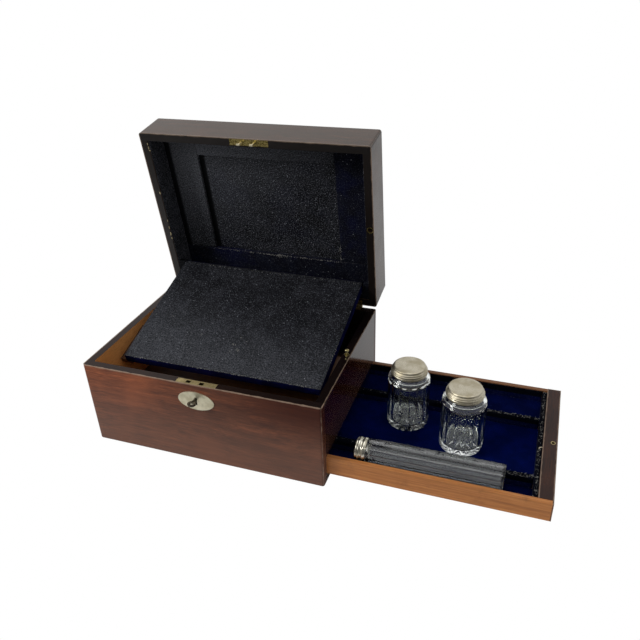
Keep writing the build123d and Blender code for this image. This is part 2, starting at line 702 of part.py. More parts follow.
def flap_board():
    """The wooden board of the flap."""
    low_x, high_x = flap_edges()
    half = FLAP_THICKNESS / 2
    board = flap_outline(low_x + FLAP_CLOTH, high_x - FLAP_CLOTH, FLAP_LENGTH - FLAP_CLOTH,
                         -half + FLAP_CLOTH, half - FLAP_CLOTH)
    for hole in flap_holes():
        board -= hole
    return lower_flap(board)


def flap_top_cloth():
    """The speckled cloth on the writing side of the flap."""
    low_x, high_x = flap_edges()
    half = FLAP_THICKNESS / 2
    return lower_flap(flap_outline(low_x, high_x, FLAP_LENGTH, half - FLAP_CLOTH, half))


def flap_edge_cloth():
    """The velvet on the underside of the flap, turned up over its three free edges."""
    low_x, high_x = flap_edges()
    half = FLAP_THICKNESS / 2
    cloth = flap_outline(low_x, high_x, FLAP_LENGTH, -half, half - FLAP_CLOTH)
    cloth -= flap_outline(low_x + FLAP_CLOTH, high_x - FLAP_CLOTH, FLAP_LENGTH - FLAP_CLOTH,
                          -half + FLAP_CLOTH, half - FLAP_CLOTH)
    for hole in flap_holes():
        cloth -= hole
    return lower_flap(cloth)


def flap_pivots():
    """The two brass pins that the flap hangs on."""
    low_x, high_x = flap_edges()
    start = low_x - BLOCK_GAP - PIVOT_IN_BLOCK
    end = high_x + BLOCK_GAP + PIVOT_IN_BLOCK
    left = rod_x(start, low_x + PIVOT_LENGTH - PIVOT_IN_BLOCK, 0, 0, PIVOT_RADIUS)
    right = rod_x(high_x - PIVOT_LENGTH + PIVOT_IN_BLOCK, end, 0, 0, PIVOT_RADIUS)
    return lower_flap(left + right)


def drawer_end_board():
    """The rosewood end of the drawer, which closes flush with the box, with the pin's hole."""
    front = -DRAWER_HALF + DRAWER_SIDE
    back_x = DRAWER_FACE - DRAWER_VENEER
    board = block(END_INNER, back_x, front, DRAWER_HALF, DRAWER_LOW, DRAWER_TOP)
    board += block(back_x, DRAWER_FACE, -DRAWER_HALF, DRAWER_HALF, DRAWER_LOW, DRAWER_TOP)
    return board - eyelet_rod(PIN_STEM_RADIUS + PIN_HOLE_FIT + EYELET_WALL)


def eyelet_rod(radius):
    """A cylinder in the drawer's end where the pin goes in, down to the bottom of its hole."""
    low = DRAWER_TOP - PIN_TRAVEL - PIN_TIP_CLEAR
    return rod(PIN_X + DRAWER_OUT, PIN_Y, low, DRAWER_TOP, radius)


def pin_eyelet():
    """The brass eyelet in the drawer's end that the pin goes into."""
    inner = PIN_STEM_RADIUS + PIN_HOLE_FIT
    return eyelet_rod(inner + EYELET_WALL) - eyelet_rod(inner)


def drawer_front_side():
    """The long side nearest the front of the box, which runs to the veneer of the end."""
    side = block(DRAWER_INNER, DRAWER_FACE - DRAWER_VENEER, -DRAWER_HALF, -DRAWER_HALF + DRAWER_SIDE,
                 DRAWER_LOW, DRAWER_TOP)
    return fillet(side.faces().sort_by(Axis.Z)[-1].edges().filter_by(Axis.X), DRAWER_EDGE_RADIUS)


def drawer_back_side():
    """The long side nearest the back of the box, which stops at the end board."""
    side = block(DRAWER_INNER, END_INNER, DRAWER_HALF - DRAWER_SIDE, DRAWER_HALF, DRAWER_LOW, DRAWER_TOP)
    return fillet(side.faces().sort_by(Axis.Z)[-1].edges().filter_by(Axis.X), DRAWER_EDGE_RADIUS)


def drawer_room():
    """The inside of the drawer in X: from the inner end to the lining of the end board."""
    return DRAWER_INNER + DRAWER_INNER_END, END_INNER - END_PAD


def drawer_inner_end():
    """The short board at the end of the drawer that stays in the box."""
    side = DRAWER_HALF - DRAWER_SIDE
    return block(DRAWER_INNER, DRAWER_INNER + DRAWER_INNER_END, -side, side, DRAWER_LOW, DRAWER_TOP)


def drawer_bottom():
    """The thin bottom of the drawer, between its sides."""
    side = DRAWER_HALF - DRAWER_SIDE
    low = DRAWER_LOW + DRAWER_BOTTOM_RISE
    return block(DRAWER_INNER + DRAWER_INNER_END, END_INNER, -side, side, low, low + DRAWER_BOTTOM)


def divider(y0, width):
    """A velvet-covered divider with a soft top edge."""
    x0, x1 = drawer_room()
    strip = block(x0, x1, y0, y0 + width, PAD_LOW, DIVIDER_TOP)
    return fillet(strip.faces().sort_by(Axis.Z)[-1].edges().filter_by(Axis.X), DRAWER_EDGE_RADIUS)


def lane_pad(y0, y1):
    """The velvet on the floor of one lane."""
    x0, x1 = drawer_room()
    return block(x0, x1, y0, y1, PAD_LOW, PAD_TOP)


def drawer_lining():
    """The velvet strips on the inside of the drawer's two long sides and end board."""
    x0, x1 = drawer_room()
    side = DRAWER_HALF - DRAWER_SIDE
    top = DRAWER_TOP - LINING_DROP
    front = block(x0, x1, -side, -side + LINING, PAD_LOW, top)
    back = block(x0, x1, side - LINING, side, PAD_LOW, top)
    return front + back + block(x1, END_INNER, -side, side, PAD_LOW, top)


def jar_glass(x, y):
    """A panelled glass jar with a scalloped shoulder and a plain neck."""
    top = JAR_BODY_HEIGHT + JAR_SHOULDER
    slope = JAR_NECK_RADIUS + CAP_BEAD
    body = turned([(0, 0), (JAR_RADIUS - JAR_HEEL, 0), (JAR_RADIUS, JAR_HEEL),
                   (JAR_RADIUS, JAR_BODY_HEIGHT), (slope, top), (JAR_NECK_RADIUS, top),
                   (JAR_NECK_RADIUS, top + JAR_NECK_HEIGHT), (0, top + JAR_NECK_HEIGHT)])
    panels = RegularPolygon(JAR_RADIUS + JAR_PANEL_CUT, JAR_PANELS)
    body &= extrude(panels, top + JAR_NECK_HEIGHT)
    room = JAR_RADIUS - JAR_WALL
    body -= turned([(0, JAR_FLOOR), (room - JAR_HEEL, JAR_FLOOR), (room, JAR_FLOOR + JAR_HEEL),
                    (room, JAR_BODY_HEIGHT - JAR_WALL), (JAR_MOUTH_RADIUS, top - JAR_WALL),
                    (JAR_MOUTH_RADIUS, top + JAR_NECK_HEIGHT), (0, top + JAR_NECK_HEIGHT)])
    return Pos(x, y, PAD_TOP + SEAT) * body


def turned_cap(radius, bore, height, crown, rounding):
    """A turned cap, open below, with a bead at its lower edge and one above."""
    bead = radius
    neck = radius - CAP_BEAD
    low = CAP_BEAD_HEIGHT
    cap = turned([(0, 0), (bead, 0), (bead, low), (neck, low), (neck, 2 * low), (bead, 2 * low),
                  (bead, 3 * low), (neck, 3 * low), (neck, height - rounding),
                  (neck - rounding, height), (0, height)])
    return cap - rod(0, 0, 0, height - crown, bore)


def jar_cap(x, y):
    """The silver cap of a jar, seated on its neck."""
    cap = turned_cap(CAP_RADIUS, JAR_NECK_RADIUS + CAP_FIT, CAP_HEIGHT, CAP_TOP, CAP_ROUND)
    neck_top = JAR_BODY_HEIGHT + JAR_SHOULDER + JAR_NECK_HEIGHT
    z = PAD_TOP + SEAT + neck_top + SEAT + CAP_TOP - CAP_HEIGHT
    return Pos(x, y, z) * cap


def tube_axis():
    """The axis of the tube, as Y and Z, where it lies on the drawer's side and the divider."""
    front = (FRONT_LANE_START, DRAWER_TOP - LINING_DROP)
    back = (FRONT_DIVIDER_START, DIVIDER_TOP)
    span_y, span_z = back[0] - front[0], back[1] - front[1]
    half = math.hypot(span_y, span_z) / 2
    rise = math.sqrt((TUBE_RADIUS + REST_GAP) ** 2 - half ** 2)
    y = (front[0] + back[0]) / 2 - rise * span_z / (2 * half)
    z = (front[1] + back[1]) / 2 + rise * span_y / (2 * half)
    return y, z


def lay_tube(piece):
    """Lay a piece built upright along -X, from the tube's closed end at the right."""
    y, z = tube_axis()
    return Pos(TUBE_RIGHT, y, z) * Rot(0, -90, 0) * piece


def tube_glass():
    """The panelled glass tube with a thick end."""
    top = TUBE_LENGTH
    body = turned([(0, 0), (TUBE_RADIUS - TUBE_HEEL, 0), (TUBE_RADIUS, TUBE_HEEL), (TUBE_RADIUS, top),
                   (TUBE_NECK_RADIUS, top), (TUBE_NECK_RADIUS, top + TUBE_NECK_LENGTH),
                   (0, top + TUBE_NECK_LENGTH)])
    panels = RegularPolygon(TUBE_RADIUS + TUBE_PANEL_CUT, TUBE_PANELS)
    body &= extrude(panels, top + TUBE_NECK_LENGTH)
    room = TUBE_RADIUS - TUBE_WALL
    body -= turned([(0, TUBE_END), (room, TUBE_END), (room, top - TUBE_WALL),
                    (TUBE_MOUTH_RADIUS, top), (TUBE_MOUTH_RADIUS, top + TUBE_NECK_LENGTH),
                    (0, top + TUBE_NECK_LENGTH)])
    return lay_tube(body)


def tube_cap():
    """The silver cap of the tube, seated on its neck."""
    cap = turned_cap(TUBE_CAP_RADIUS, TUBE_NECK_RADIUS + CAP_FIT, TUBE_CAP_LENGTH, TUBE_CAP_TOP,
                     TUBE_CAP_ROUND)
    z = TUBE_LENGTH + TUBE_NECK_LENGTH + SEAT + TUBE_CAP_TOP - TUBE_CAP_LENGTH
    return lay_tube(Pos(0, 0, z) * cap)


def screws_node(screws):
    """All the screws of one side as one node."""
    group = screws[0]
    for screw in screws[1:]:
        group += screw
    return group


def all_nodes():
    """Every node of the box by name."""
    starts = hinge_starts()
    nodes = {
        "front_board": front_board(),
        "back_board": back_board(),
        "left_board": left_board(),
        "right_board": right_board(),
        "drawer_sill": drawer_sill(),
        "bottom_board": bottom_board(),
        "drawer_runners": drawer_runners(),
        "compartment_floor": compartment_floor(),
        "slope_ledges": slope_ledges(),
        "lock_case": lock_case(),
        "lock_plate": lock_plate(),
        "escutcheon": escutcheon(),
        "pin_bush": pin_bush(),
        "hinge_pins": hinge_pins(),
        "hinge_base_screws": screws_node(hinge_screws(BASE_HEIGHT, False)),
        "lid_top": lid_top(),
        "lid_front_rail": lid_front_rail(),
        "lid_back_rail": lid_back_rail(),
        "lid_left_rail": lid_left_rail(),
        "lid_right_rail": lid_right_rail(),
        "lid_recess_panel": lid_recess_panel(),
        "lid_wall_lining": lid_wall_lining(),
        "hook_plate": hook_plate(),
        "socket_ring": socket_ring(),
        "hinge_lid_screws": open_lid(screws_node(hinge_screws(LID_RIM, True))),
        "flap_ledge": flap_ledge(),
        "flap_pivot_blocks": flap_pivot_blocks(),
        "flap_board": flap_board(),
        "flap_top_cloth": flap_top_cloth(),
        "flap_edge_cloth": flap_edge_cloth(),
        "flap_pivots": flap_pivots(),
        "drawer_end_board": drawer_end_board(),
        "drawer_front_side": drawer_front_side(),
        "drawer_back_side": drawer_back_side(),
        "drawer_inner_end": drawer_inner_end(),
        "drawer_bottom": drawer_bottom(),
        "front_divider": divider(FRONT_DIVIDER_START, FRONT_DIVIDER),
        "back_divider": divider(BACK_DIVIDER_START, BACK_DIVIDER),
        "front_lane_pad": lane_pad(FRONT_LANE_START, FRONT_DIVIDER_START),
        "middle_lane_pad": lane_pad(MIDDLE_LANE_START, BACK_DIVIDER_START),
        "back_lane_pad": lane_pad(BACK_LANE_START, BACK_LANE_END),
        "drawer_lining": drawer_lining(),
        "pin_eyelet": pin_eyelet(),
        "drawer_pin": drawer_pin(),
        "key": key(),
        "lock_bolt": lock_bolt(),
        "jar_1_glass": jar_glass(JAR_1_X, JAR_1_Y),
        "jar_1_cap": jar_cap(JAR_1_X, JAR_1_Y),
        "jar_2_glass": jar_glass(JAR_2_X, JAR_2_Y),
        "jar_2_cap": jar_cap(JAR_2_X, JAR_2_Y),
        "tube_glass": tube_glass(),
        "tube_cap": tube_cap(),
    }
    for side, start in starts.items():
        nodes[f"{side}_hinge_base_leaf"] = hinge_leaf_base(start)
        nodes[f"{side}_hinge_lid_leaf"] = open_lid(hinge_leaf_lid(start))
    for name in ("left", "right", "top", "bottom"):
        nodes[f"lid_frame_{name}"] = lid_frame(name)
    return nodes


os.makedirs("parts", exist_ok=True)
for node_name, node_shape in all_nodes().items():
    export_step(node_shape, f"parts/{node_name}.step")
pivot_y, pivot_z = pivot_place()
tube_y, tube_z = tube_axis()
print(f"hinge axis Y {HINGE_Y:.3f} Z {HINGE_Z:.3f}; flap pivot Y {pivot_y:.3f} Z {pivot_z:.3f}")
print(f"flap turn {LID_OPEN + FLAP_PITCH:.2f} degrees; tube axis Y {tube_y:.2f} Z {tube_z:.2f}")
jar_top = jar_cap(0, 0).bounding_box().max.Z
print(f"drawer Z {DRAWER_LOW:.1f} to {DRAWER_TOP:.1f}; jar height {jar_top - PAD_TOP:.1f}")
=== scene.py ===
import logging
import math
import random
from dataclasses import dataclass, field, replace
from enum import Enum
from typing import Any, Callable

import bmesh
import bpy
from bpy.types import Material, Mesh, NodeSocket, NodeTree, Object
from mathutils import Matrix, Vector, noise


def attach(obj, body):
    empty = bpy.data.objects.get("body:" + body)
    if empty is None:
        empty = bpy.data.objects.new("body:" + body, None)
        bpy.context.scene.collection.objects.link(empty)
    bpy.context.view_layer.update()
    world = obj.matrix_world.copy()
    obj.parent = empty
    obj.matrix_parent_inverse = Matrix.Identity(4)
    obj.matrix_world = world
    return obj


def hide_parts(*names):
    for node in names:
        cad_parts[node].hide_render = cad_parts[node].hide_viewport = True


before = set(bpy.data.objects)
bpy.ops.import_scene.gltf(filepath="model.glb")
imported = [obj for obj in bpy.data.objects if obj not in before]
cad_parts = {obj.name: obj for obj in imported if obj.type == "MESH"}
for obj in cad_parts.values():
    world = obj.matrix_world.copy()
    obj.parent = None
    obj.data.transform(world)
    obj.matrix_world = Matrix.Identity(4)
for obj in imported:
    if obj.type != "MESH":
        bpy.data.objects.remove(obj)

Triple = tuple[float, float, float]
log = logging.getLogger("writing_box")
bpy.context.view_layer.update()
MM = 0.001

# Sizes shared with the model, in metres and degrees
HINGE = Vector((0.0, 0.11595, 0.11415))
LID_OPEN = 81.3
FLAP_PIVOT = Vector((0.0, 0.114765, 0.145694))
FLAP_PITCH = 16.5
HALF_WIDTH, HALF_DEPTH = 0.1525, 0.114
BASE_HEIGHT, LID_SEAM, LID_HEIGHT = 0.114, 0.0003, 0.0514
LINT_LIFT = 0.0001
CAP_GAP = 0.0003
SILVER_CREASE = 50.0


class Part(Enum):
    """The rigid parts, each with level coordinates of its own in which its boards lie square."""

    BASE = "base"
    LID = "lid"
    FLAP = "flap"

    def tilt(self) -> float:
        """The turn about X from level to where the part stands, in degrees."""
        return {Part.BASE: 0.0, Part.LID: -LID_OPEN, Part.FLAP: FLAP_PITCH}[self]

    def to_row(self) -> Matrix:
        """The matrix from the part's level coordinates to the row frame."""
        turn = Matrix.Rotation(math.radians(self.tilt()), 4, "X")
        if self is Part.LID:
            return Matrix.Translation(HINGE) @ turn @ Matrix.Translation(-HINGE)
        if self is Part.FLAP:
            return Matrix.Translation(FLAP_PIVOT) @ turn
        return turn


class Grain(Enum):
    """Which way the grain runs on a board, in its level coordinates."""

    ALONG_X = "x"
    ALONG_Y = "y"
    ROUND = "round"


@dataclass(frozen=True)
class Limits:
    """A box in level coordinates, in metres, whose arrises wear."""

    low: Triple
    high: Triple

    def centre_mm(self) -> tuple[float, ...]:
        """The middle of the box in millimetres."""
        return tuple((a + b) / 2 / MM for a, b in zip(self.low, self.high))

    def half_mm(self) -> tuple[float, ...]:
        """Half the box's sides in millimetres."""
        return tuple((b - a) / 2 / MM for a, b in zip(self.low, self.high))

    def moved(self, low: Triple,
              high: Triple = (0.0, 0.0, 0.0)) -> "Limits":
        """A box whose lowest and highest corner are moved by so much."""
        low, high = (tuple(a + b for a, b in zip(corner, way))
                     for corner, way in ((self.low, low), (self.high, high)))
        return Limits(low, high)


BASE_LIMITS = Limits((-HALF_WIDTH, -HALF_DEPTH, 0.0), (HALF_WIDTH, HALF_DEPTH, BASE_HEIGHT))
LID_LIMITS = Limits((-HALF_WIDTH, -HALF_DEPTH, BASE_HEIGHT + LID_SEAM),
                    (HALF_WIDTH, HALF_DEPTH, BASE_HEIGHT + LID_HEIGHT))


def linear(code: str) -> tuple[float, float, float, float]:
    """Turn an sRGB hex colour to linear.

    Args:
        code: The colour as #rrggbb.
    Returns:
        Red, green, blue and an alpha of 1, linear.
    """
    parts = [int(code[i:i + 2], 16) / 255 for i in (1, 3, 5)]
    red, green, blue = (c / 12.92 if c <= 0.04045 else ((c + 0.055) / 1.055) ** 2.4 for c in parts)
    return red, green, blue, 1.0


def node_limits(name: str, part: Part) -> Limits:
    """Measure a CAD node in its part's level coordinates.

    Args:
        name: The CAD node.
        part: The rigid part that it belongs to.
    Returns:
        Its lowest and highest corner, in metres.
    """
    back = part.to_row().inverted()
    points = [back @ v.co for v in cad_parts[name].data.vertices]
    low = tuple(min(p[i] for p in points) for i in range(3))
    high = tuple(max(p[i] for p in points) for i in range(3))
    return Limits(low, high)


class Nodes:
    """The nodes of a tree while they are put together."""

    def __init__(self, tree: NodeTree) -> None:
        """Start from an empty tree."""
        self.tree = tree
        tree.nodes.clear()

    def add(self, kind: str, inputs: dict[Any, Any] | None = None, out: Any = 0,
            ramp: list[tuple[float, str]] | None = None, **settings: Any) -> Any:
        """Add a node with its settings and links.

        Args:
            kind: The node's type.
            inputs: A value or another node's output for each input socket.
            out: The output socket to return, or None for the node itself.
            ramp: The stops of a colour ramp, as place and hex colour.
            settings: The node's own properties.
        Returns:
            The output socket, or the node.
        """
        node = self.tree.nodes.new(kind)
        for key, value in settings.items():
            setattr(node, key, value)
        for key, value in (inputs or {}).items():
            if isinstance(value, NodeSocket):
                self.tree.links.new(value, node.inputs[key])
            else:
                node.inputs[key].default_value = value
        if ramp:
            stops = node.color_ramp.elements
            while len(stops) < len(ramp):
                stops.new(0.5)
            for stop, (place, colour) in zip(stops, ramp):
                stop.position = place
                stop.color = linear(colour)
        return node if out is None else node.outputs[out]

    def split(self, vector: Any) -> Any:
        """Take a vector apart into its X, Y and Z."""
        return self.add("ShaderNodeSeparateXYZ", {0: vector}, None).outputs

    def mix(self, factor: Any, first: Any, second: Any, **settings: Any) -> Any:
        """Mix two colours by a factor, each a socket, a linear colour or a hex colour."""
        first, second = (linear(c) if isinstance(c, str) else c for c in (first, second))
        inputs = {0: factor, 6: first, 7: second}
        return self.add("ShaderNodeMix", inputs, 2, data_type="RGBA", **settings)

    def sum(self, first: Any, operation: str, second: Any = 0.0) -> Any:
        """Do one sum on numbers, each a socket or a value."""
        return self.add("ShaderNodeMath", {0: first, 1: second}, operation=operation)

    def weigh(self, values: tuple[Any, ...], shares: tuple[float, ...]) -> Any:
        """Add up sockets, each times its share."""
        total, *others = [self.sum(value, "MULTIPLY", share) for value, share in zip(values, shares)]
        for other in others:
            total = self.sum(total, "ADD", other)
        return total

    def fade(self, value: Any, start: float, end: float, low: float = 0.0, high: float = 1.0) -> Any:
        """Turn a number into a smooth step from low at start to high at end."""
        inputs = {0: value, 1: start, 2: end, 3: low, 4: high}
        return self.add("ShaderNodeMapRange", inputs, interpolation_type="SMOOTHSTEP")


class Recipe(Nodes):
    """A material while its nodes are put together, with pattern coordinates in millimetres."""

    def __init__(self, name: str, part: Part = Part.BASE) -> None:
        """Start an empty material.

        Args:
            name: The material's name.
            part: The rigid part whose level coordinates the pattern follows.
        """
        self.material = bpy.data.materials.new(name)
        self.material.use_nodes = True
        super().__init__(self.material.node_tree)
        turn = (math.radians(-part.tilt()), 0.0, 0.0)
        place = self.add("ShaderNodeTexCoord", out=None).outputs
        self.level = self.add("ShaderNodeMapping", {
            "Vector": place["Object"], "Location": part.to_row().inverted().translation / MM,
            "Rotation": turn, "Scale": (1 / MM, 1 / MM, 1 / MM)})
        self.facing = self.add("ShaderNodeMapping", {"Vector": place["Normal"], "Rotation": turn},
                               vector_type="VECTOR")

    def cloud(self, size: float | Triple, detail: float = 3.0,
              vector: Any = None, shift: float = 0.0, rough: float = 0.55) -> Any:
        """Make a noise whose lumps have a size.

        Args:
            size: The lumps' size in millimetres, or one for each axis.
            detail: The octaves.
            vector: The coordinates, or the level ones.
            shift: An offset, so that two noises differ.
            rough: How strong the small octaves are.
        Returns:
            The noise, from 0 to 1.
        """
        sizes = (size,) * 3 if isinstance(size, (int, float)) else size
        scaled = self.add("ShaderNodeMapping", {
            "Vector": vector or self.level, "Location": (shift, 2.3 * shift, 4.1 * shift),
            "Scale": tuple(1 / s for s in sizes)})
        return self.add("ShaderNodeTexNoise", {
            "Vector": scaled, "Scale": 1.0, "Detail": detail, "Roughness": rough}, "Fac")

    def arris(self, limits: Limits) -> Any:
        """Measure the distance to the nearest arris of a box.

        Args:
            limits: The box.
        Returns:
            The distance in millimetres on the box's faces: the middle one of three.
        """
        from_centre = self.add("ShaderNodeVectorMath", {0: self.level, 1: limits.centre_mm()},
                               operation="SUBTRACT")
        apart = self.add("ShaderNodeVectorMath", {0: from_centre}, operation="ABSOLUTE")
        depth = self.add("ShaderNodeVectorMath", {0: limits.half_mm(), 1: apart}, operation="SUBTRACT")
        parts = self.split(depth)
        least = self.sum(parts[0], "MINIMUM", parts[1])
        most = self.sum(parts[0], "MAXIMUM", parts[1])
        return self.sum(least, "MAXIMUM", self.sum(most, "MINIMUM", parts[2]))

    def finish(self, bump: Any = None, depth_mm: float = 0.1, strength: float = 1.0,
               **sockets: Any) -> Material:
        """Add the surface and the output.

        Args:
            bump: The height pattern, from 0 to 1.
            depth_mm: How deep the height pattern is.
            strength: How much of it shows.
            sockets: Values or links for the surface, with underscores for spaces.
        Returns:
            The finished material.
        """
        inputs = {key.replace("_", " "): value for key, value in sockets.items()}
        if bump is not None:
            inputs["Normal"] = self.add("ShaderNodeBump", {
                "Height": bump, "Distance": depth_mm * MM, "Strength": strength})
        surface = self.add("ShaderNodeBsdfPrincipled", inputs)
        self.add("ShaderNodeOutputMaterial", {0: surface}, None)
        return self.material


@dataclass(frozen=True)
class PolishedRosewood:
    """Rosewood veneer under an old shellac polish: fine dark streaks on red-brown, and a soft gloss."""

    deep: str = "#35140b"
    brown: str = "#4f2816"
    warm: str = "#60321d"
    ember: str = "#80462a"
    # greyer tone, and the painted reflection of the floor at the foot of the base
    tone_and_floor_reflection: str = "#5e4a41"
    # greyer tone of the lid, partly a painted reflection
    lid_tone_and_reflection: str = "#3f4038"
    worn: str = "#9a8472"
    rim: str = "#0f0b0a"
    # the bare plain wood inside the box, painted lighter than it is as painted light for its shaded places
    inside: str = "#f0aa66"
    inside_dark: str = "#c27d3e"
    figure_mm: Triple = (130.0, 6.0, 6.0)
    streak_mm: Triple = (46.0, 1.1, 1.1)
    line_mm: Triple = (11.0, 0.7, 0.7)
    wisp_mm: Triple = (60.0, 1.6, 1.6)
    drift_mm: float = 26.0
    lid_tone_and_reflection_share: float = 0.6
    rim_share: float = 0.75
    box_rim_share: float = 0.94
    shares: Triple = (0.36, 0.30, 0.34)
    # painted light: how much lighter the base is on the window side
    painted_light: tuple[float, float, float, float] = (1.85, 1.72, 1.5, 1.0)

    def material(self, name: str, part: Part, limits: Limits, grain: Grain,
                 shade: float = 1.0, gloss: float = 0.2, polish: float = 0.5) -> Material:
        """Make the wood for one board.

        Args:
            name: The material's name.
            part: The rigid part that the board belongs to.
            limits: The box whose arrises are worn.
            grain: Which way the grain runs.
            shade: How light the board is.
            gloss: The polish's roughness.
            polish: How much the polish mirrors.
        Returns:
            The material.
        """
        r = Recipe(name, part)
        x, y, z = r.split(r.level)
        normal = r.split(r.facing)
        across = r.add("ShaderNodeCombineXYZ", {0: y, 1: x, 2: z})
        on_end = r.fade(r.sum(normal[0], "ABSOLUTE"), 0.45, 0.55)
        turned = {Grain.ALONG_X: 0.0, Grain.ALONG_Y: 1.0, Grain.ROUND: on_end}[grain]
        run = r.add("ShaderNodeMix", {0: turned, 4: r.level, 5: across}, 1, data_type="VECTOR")
        # the figure wanders by a few millimetres over a hand's width, and the fine lines run straight
        drift = r.sum(r.cloud((170.0, 60.0, 60.0), 2.0, run, 3.0), "SUBTRACT", 0.5)
        drift = r.sum(drift, "MULTIPLY", self.drift_mm)
        wander = r.add("ShaderNodeVectorMath", {0: run, 1: r.add(
            "ShaderNodeCombineXYZ", {0: 0.0, 1: drift, 2: drift})}, operation="ADD")
        figure = r.cloud(self.figure_mm, 3.0, wander, 1.0, 0.6)
        streak = r.cloud(self.streak_mm, 4.0, wander, 7.0, 0.6)
        lines = r.cloud(self.line_mm, 3.0, run, 11.0, 0.65)
        colour = r.add("ShaderNodeValToRGB", {0: r.weigh((figure, streak, lines), self.shares)}, ramp=[
            (0.38, self.deep), (0.465, self.brown), (0.535, self.warm), (0.63, self.ember)])
        wisps = r.fade(r.cloud(self.wisp_mm, 4.0, wander, 27.0), 0.54, 0.68, 0.0, 0.6)
        colour = r.mix(wisps, colour, self.deep)
        patch = r.fade(r.cloud(80.0, 2.0, None, 17.0), 0.50, 0.72, 0.0, 0.45)
        colour = r.mix(patch, colour, self.ember)
        if limits is BASE_LIMITS:
            # painted light: lighter on the window side and towards the top; greyer all over and most at the
            # foot, partly a painted reflection of the floor; a painted dark reflection at the right top
            # corner
            painted_window_light = r.sum(r.fade(x, 60.0, -150.0), "MULTIPLY", r.fade(z, 40.0, 105.0, 0.12, 1.0))
            colour = r.mix(painted_window_light, colour, self.painted_light, blend_type="MULTIPLY")
            # greyer tone, with a painted reflection of the floor that grows towards the foot
            colour = r.mix(r.fade(z, 110.0, 5.0, 0.26, 0.60), colour, self.tone_and_floor_reflection)
            # painted dark reflection: the right top corner is darkened
            corner = r.sum(r.fade(x, -10.0, 130.0), "MULTIPLY", r.fade(z, 50.0, 105.0, 0.0, 0.85))
            colour = r.mix(corner, colour, self.deep)
        rim_share = self.rim_share
        facing_rim = r.sum(normal[2], "ABSOLUTE")
        if limits in (BASE_LIMITS, LID_LIMITS):
            rim_share = self.box_rim_share
            facing_rim = r.sum(normal[2], "MULTIPLY", -1.0 if part is Part.LID else 1.0)
        if limits is BASE_LIMITS:
            side = [r.sum(half, "SUBTRACT", r.sum(place, "ABSOLUTE"))
                    for half, place in zip(limits.half_mm(), (x, y))]
            within = r.fade(r.sum(side[0], "MINIMUM", side[1]), 6.0, 8.0)
            within = r.sum(within, "MULTIPLY", r.fade(facing_rim, 0.6, 0.4))
            # the bare wood inside is painted lighter than it is, as painted light where it lies in shade, and
            # painted near black towards the right as painted shade
            bare = r.mix(r.fade(lines, 0.30, 0.56), self.inside_dark, self.inside)
            colour = r.mix(within, colour, r.mix(r.fade(x, -50.0, 60.0), bare, self.rim))
        if part is Part.LID:
            # greyer tone, partly a painted reflection of the pale surround on the lid
            colour = r.mix(self.lid_tone_and_reflection_share, colour, self.lid_tone_and_reflection)
        on_rim = r.fade(facing_rim, 0.6, 0.9)
        colour = r.mix(r.sum(on_rim, "MULTIPLY", rim_share), colour, self.rim)
        rub = r.sum(r.sum(r.cloud(9.0, 4.0, None, 23.0), "MULTIPLY", 2.2), "ADD", 0.3)
        edge = r.fade(r.sum(r.arris(limits), "SUBTRACT", rub), 0.1, -0.8, 0.0, 0.6)
        colour = r.mix(edge, colour, self.worn)
        colour = r.mix(1.0, colour, (shade, shade, shade, 1.0), blend_type="MULTIPLY")
        dull = r.fade(r.cloud(40.0, 3.0, None, 31.0), 0.3, 0.7, gloss * 0.8, gloss * 1.3)
        if part is Part.LID:
            dull = r.sum(dull, "ADD", r.sum(on_rim, "MULTIPLY", 0.2))
        return r.finish(lines, 0.05, 0.22, Base_Color=colour, Roughness=dull, IOR=1.5,
                        Specular_IOR_Level=polish)


@dataclass(frozen=True)
class WaxedPlainWood:
    """The plain wood inside, mahogany or cedar, waxed and handled: orange-brown with fine lines."""

    dark: str = "#7b4a1f"
    middle: str = "#935b29"
    light: str = "#a66d38"
    dirt: str = "#452810"
    ring_mm: Triple = (150.0, 3.0, 3.0)
    line_mm: Triple = (22.0, 0.6, 0.6)
    shares: tuple[float, float] = (0.55, 0.45)

    def material(self, name: str, part: Part, limits: Limits, grain: Grain,
                 shade: float = 1.0) -> Material:
        """Make the wood for one board.

        Args:
            name: The material's name.
            part: The rigid part that the board belongs to.
            limits: The box whose arrises are rubbed.
            grain: Which way the grain runs.
            shade: How light the board is.
        Returns:
            The material.
        """
        r = Recipe(name, part)
        x, y, z = r.split(r.level)
        run = r.add("ShaderNodeCombineXYZ", {0: y, 1: x, 2: z}) if grain is Grain.ALONG_Y else r.level
        rings = r.cloud(self.ring_mm, 3.0, run, 2.0)
        lines = r.cloud(self.line_mm, 4.0, run, 5.0, 0.7)
        colour = r.add("ShaderNodeValToRGB", {0: r.weigh((rings, lines), self.shares)}, ramp=[
            (0.38, self.dark), (0.50, self.middle), (0.64, self.light)])
        grime = r.fade(r.cloud(22.0, 4.0, None, 8.0, 0.65), 0.55, 0.78, 0.0, 0.4)
        colour = r.mix(grime, colour, self.dirt)
        rub = r.sum(r.cloud(6.0, 4.0, None, 3.0), "MULTIPLY", 1.6)
        edge = r.fade(r.sum(r.arris(limits), "SUBTRACT", rub), 0.0, -0.7, 0.0, 0.35)
        colour = r.mix(edge, colour, self.light)
        colour = r.mix(1.0, colour, (shade, shade, shade, 1.0), blend_type="MULTIPLY")
        return r.finish(lines, 0.08, 0.4, Base_Color=colour, Roughness=0.5, IOR=1.45)

    def boards(self, rows: dict[str, tuple[Grain, float]]) -> None:
        """Dress boards of the base or the drawer.

        Args:
            rows: The way of the grain and the shade of each board.
        """
        for name, (grain, shade) in rows.items():
            limits = node_limits(name, Part.BASE)
            dress({name: self.material(f"plain_wood_{name}", Part.BASE, limits, grain, shade)})


